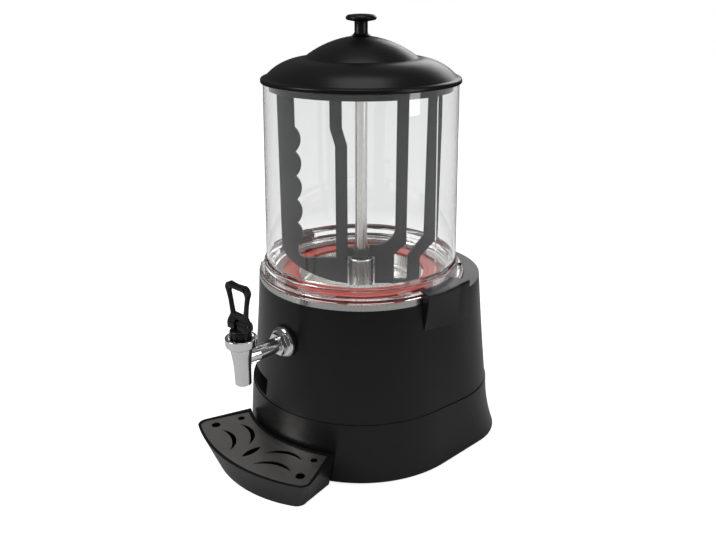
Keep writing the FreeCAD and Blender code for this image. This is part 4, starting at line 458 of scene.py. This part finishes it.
# A node's own surface, cut at some heights, with every point moved
def reshaped(name, node, move, levels=(), sharp=32):
    shape = bmesh.new()
    shape.from_mesh(nodes[node].data)
    bmesh.ops.remove_doubles(shape, verts=shape.verts[:], dist=0.000001)
    for level in levels:
        parts = shape.verts[:] + shape.edges[:] + shape.faces[:]
        bmesh.ops.bisect_plane(shape, geom=parts, plane_co=(0, 0, level * mm), plane_no=(0, 0, 1))
    shape.verts.index_update()
    points = [Vector(move(*(vert.co / mm))) * mm for vert in shape.verts]
    faces = [[corner.index for corner in face.verts] for face in shape.faces]
    shape.free()
    mesh = bpy.data.meshes.new(name)
    mesh.from_pydata([point[:] for point in points], [], faces)
    return addPiece(name, mesh, bodyOf[node], slotOf[node], [node], sharp)


# Lid: crease and dome stand a little higher over the brim
lidShape = {"seat": 489.0, "growth": [(3.0, 0.0), (12.0, 1.9), (22.4, 3.2), (48.0, 3.5)]}


def lidPoint(x, y, z):
    return x, y, z + tableValue(lidShape["growth"], z - lidShape["seat"])


reshaped("lidShell", "lid", lidPoint, sharp=24)


# Knob: one millimetre shorter, with a flared foot
knobShape = {
    "foot": 537.0,
    "raise": 3.5,
    "shrink": 25 / 26,
    "flare": [(0.0, 1.3), (1.5, 1.12), (4.0, 1.0)],
    "screwHole": 5,
    "levels": [538.5, 540.0, 541.0],
}


def knobPoint(x, y, z):
    above = z - knobShape["foot"]
    wide = tableValue(knobShape["flare"], above) if math.hypot(x, y) > knobShape["screwHole"] else 1.0
    return x * wide, y * wide, knobShape["foot"] + knobShape["raise"] + above * knobShape["shrink"]


def knobScrewPoint(x, y, z):
    return x, y, z + knobShape["raise"]


reshaped("lidKnobTurned", "lid_knob", knobPoint, knobShape["levels"])
reshaped("lidKnobScrewTurned", "lid_knob_screw", knobScrewPoint)


# Tap nozzle: straight spout that curves out to the collar. The outside is the CAD radius by
# height; radius and height are the new ones.
nozzleShape = {
    "axisY": -209.0,
    "mouthZ": 145.0,
    "outside": [
        (142, 9.6), (189.5, 15.6), (190, 15.0), (190.5, 15.8), (197, 19.2), (206, 19.2), (207, 18.2),
    ],
    "outsideSlack": 0.2,
    "radius": [
        (142, 9.9), (145, 10.0), (165, 10.4), (172, 10.9), (179, 11.7), (185, 12.8), (189.5, 13.6),
        (190, 13.5), (190.5, 16.2), (193, 18.4), (197, 18.9), (206, 18.9), (207, 17.9),
    ],
    "height": [
        (142, 145), (165, 165.8), (185, 185.6), (187.4, 188.2), (189.5, 193.0), (190, 193.6),
        (190.5, 194.8), (197, 197.6), (206, 206), (207, 207),
    ],
    "levels": [144 + 3 * step for step in range(16)] + [192, 194.5],
}


def nozzlePoint(x, y, z):
    away = y - nozzleShape["axisY"]
    radius = math.hypot(x, away)
    if abs(radius - tableValue(nozzleShape["outside"], z)) > nozzleShape["outsideSlack"]:
        return x, y, max(z, nozzleShape["mouthZ"])
    factor = tableValue(nozzleShape["radius"], z) / radius
    return x * factor, nozzleShape["axisY"] + away * factor, tableValue(nozzleShape["height"], z)


reshaped("tapSpout", "tap_nozzle", nozzlePoint, nozzleShape["levels"], sharp=36)


# Tap handle: thinner, wider loop. The opening's and the outline's half widths by height, as they
# are in the CAD node and as they become; the opening's top edge rises.
handleShape = {
    "axisY": -209.0,
    "loopFootZ": 236.4,
    "innerNow": [(236.5, 5.7), (261.4, 13.4)],
    "inner": [(236.5, 10.3), (261.4, 15.4)],
    "outerNow": [(234.3, 11.3), (265.8, 19.0)],
    "outer": [(234.3, 13.5), (265.8, 21.0)],
    "footScale": [(228.3, 1.069), (234.3, 1.195)],
    "depth": [(229.0, 1.0), (236.0, 0.8)],
    "lintel": 265.4,
    "lintelRaise": 2.4,
    "lintelCorner": 4.0,
    "gripReach": 1.2,
    "slack": 0.1,
}


def handlePoint(x, y, z):
    wide = abs(x)
    now, inner = tableValue(handleShape["innerNow"], z), tableValue(handleShape["inner"], z)
    outerNow, outer = tableValue(handleShape["outerNow"], z), tableValue(handleShape["outer"], z)
    if z < handleShape["loopFootZ"]:
        across = wide * tableValue(handleShape["footScale"], z)
    elif wide <= now:
        across = wide * inner / now
    else:
        across = inner + (wide - now) * (outer - inner) / (outerNow - now)
    up = z
    lintel, corner, slack = handleShape["lintel"], handleShape["lintelCorner"], handleShape["slack"]
    inCorner = lintel - corner - slack < z < lintel + handleShape["gripReach"]
    if wide <= now + slack and inCorner:
        up = z + handleShape["lintelRaise"] * min(1.0, (z - lintel + corner) / corner)
    deep = (y - handleShape["axisY"]) * tableValue(handleShape["depth"], z)
    return math.copysign(across, x), handleShape["axisY"] + deep, up


reshaped("tapLoop", "tap_handle", handlePoint, sharp=34)


# Stirrer: a small collar in place of the hub disc, and a lower bend in the far arm
stirrerShape = {
    "turn": 43.18,
    "hub": (254.5, 268.5),
    "hubRadii": (10, 21),
    "plate": 2.6,
    "collar": [(10.0, 10.0), (20.2, 11.5)],
    "slack": 0.8,
    "bends": [
        ((84.5, 299.0), (83.4, 285.0)), ((62.0, 263.0), (62.4, 256.0)),
        ((102.0, 287.0), (101.4, 281.5)), ((78.5, 253.0), (79.0, 254.0)),
    ],
}


def stirrerPoint(x, y, z):
    turn = math.radians(stirrerShape["turn"])
    along = x * math.cos(turn) + y * math.sin(turn)
    aside = y * math.cos(turn) - x * math.sin(turn)
    low, high = stirrerShape["hub"]
    bore, disc = stirrerShape["hubRadii"]
    slack = stirrerShape["slack"]
    radius = math.hypot(along, aside)
    if low < z < high and abs(aside) > stirrerShape["plate"] and bore < radius < disc:
        factor = tableValue(stirrerShape["collar"], radius) / radius
        along, aside = along * factor, aside * factor
    for (nowAlong, nowHeight), (newAlong, newHeight) in stirrerShape["bends"]:
        if abs(along - nowAlong) < slack and abs(z - nowHeight) < slack:
            along, z = newAlong, newHeight
    return (
        along * math.cos(turn) - aside * math.sin(turn),
        along * math.sin(turn) + aside * math.cos(turn),
        z,
    )


reshaped("stirrerPaddle", "stirrer", stirrerPoint, sharp=28)


# Cheeks: the two tabs swell out of the housing without a step. Each is a skin from the housing's
# outline at flushZ out to topRadius, rounded over at the top, with a top plate and two end faces.
cheekShape = {
    "flushZ": 196.0,
    "lowZ": 198.5,
    "topZ": 249.3,
    "round": 2.2,
    "roundSteps": 5,
    "endLow": 76.7,
    "endTop": 75.6,
    "backAngle": 104.5,
    "fadeAngle": 98.0,
    "swellPower": 0.85,
    "leastSwell": 0.6,
    "proud": 0.15,
    "topRadius": 153.0,
    "innerRadius": 133.0,
    "endRadius": 139.5,
    "columns": 30,
    "rows": 22,
}


def outsideRadius(tree, angle, height):
    outward = Vector(aroundPoint(angle, 1, 0))
    start = outward * 0.3 + Vector((0, 0, height * mm))
    hit = tree.ray_cast(start, -outward)[0]
    return math.hypot(hit.x, hit.y) / mm


# Heights of a cheek's rows, and how far each is drawn in by the rounded top
def cheekRows(setup):
    low, rows, bend = setup["lowZ"], setup["rows"], setup["round"]
    straight = setup["topZ"] - bend
    found = [(low + (straight - low) * row / rows, 0.0) for row in range(rows + 1)]
    for step in range(1, setup["roundSteps"] + 1):
        turn = math.radians(90 / setup["roundSteps"] * step)
        found.append((straight + bend * math.sin(turn), bend * (1 - math.cos(turn))))
    return found


def cheekRadius(tree, side, setup, angle, rise, drawIn):
    flush = outsideRadius(tree, angle * side, setup["flushZ"])
    most = max(setup["topRadius"], flush + setup["leastSwell"])
    swell = (most - flush) * rise ** setup["swellPower"]
    fadeSpan = setup["backAngle"] - setup["fadeAngle"]
    fade = 1 - max(0.0, (angle - setup["fadeAngle"]) / fadeSpan) ** 2
    return flush + swell * fade - drawIn + setup["proud"]


def makeCheek(name, side, tree, setup):
    low, top, columns = setup["lowZ"], setup["topZ"], setup["columns"]
    rows = cheekRows(setup)
    points = []
    for height, drawIn in rows:
        rise = min(1.0, (height - low) / (top - setup["round"] - low))
        first = setup["endLow"] + (setup["endTop"] - setup["endLow"]) * rise
        for column in range(columns + 1):
            angle = first + (setup["backAngle"] - first) * column / columns
            radius = cheekRadius(tree, side, setup, angle, rise, drawIn)
            points.append(aroundPoint(angle * side, radius, height))
    wide = columns + 1
    faces = []
    for row in range(len(rows) - 1):
        for column in range(columns):
            corner = row * wide + column
            faces.append((corner, corner + 1, corner + 1 + wide, corner + wide))
    lastRow = (len(rows) - 1) * wide
    innerStart = len(points)
    for column in range(columns + 1):
        angle = setup["endTop"] + (setup["backAngle"] - setup["endTop"]) * column / columns
        points.append(aroundPoint(angle * side, setup["innerRadius"], top))
    for column in range(columns):
        corner, inner = lastRow + column, innerStart + column
        faces.append((corner, corner + 1, inner + 1, inner))
    for edge in (0, columns):
        base = len(points)
        for row in range(len(rows)):
            x, y, z = points[row * wide + edge]
            inset = setup["endRadius"] / math.hypot(x, y)
            points.append((x * inset, y * inset, z))
        for row in range(len(rows) - 1):
            corner = row * wide + edge
            faces.append((corner, corner + wide, base + row + 1, base + row))
    mesh = bpy.data.meshes.new(name)
    mesh.from_pydata([tuple(value * mm for value in point) for point in points], [], faces)
    shape = bmesh.new()
    shape.from_mesh(mesh)
    bmesh.ops.remove_doubles(shape, verts=shape.verts[:], dist=0.00001)
    bmesh.ops.recalc_face_normals(shape, faces=shape.faces[:])
    shape.to_mesh(mesh)
    shape.free()
    return addPiece(name, mesh, "machine", "black_plastic", sharp=40)


housingSurface = bmesh.new()
housingSurface.from_mesh(nodes["upper_housing"].data)
housingTree = BVHTree.FromBMesh(housingSurface)
makeCheek("rightCheek", 1, housingTree, cheekShape)
makeCheek("leftCheek", -1, housingTree, cheekShape)
housingSurface.free()
print("pieces ready")


# CAD nodes that are kept get their finish

for node, item in nodes.items():
    finish = "grid_steel" if node == "drip_grid" else slotOf[node]
    item.data.materials.clear()
    item.data.materials.append(finishes[finish])
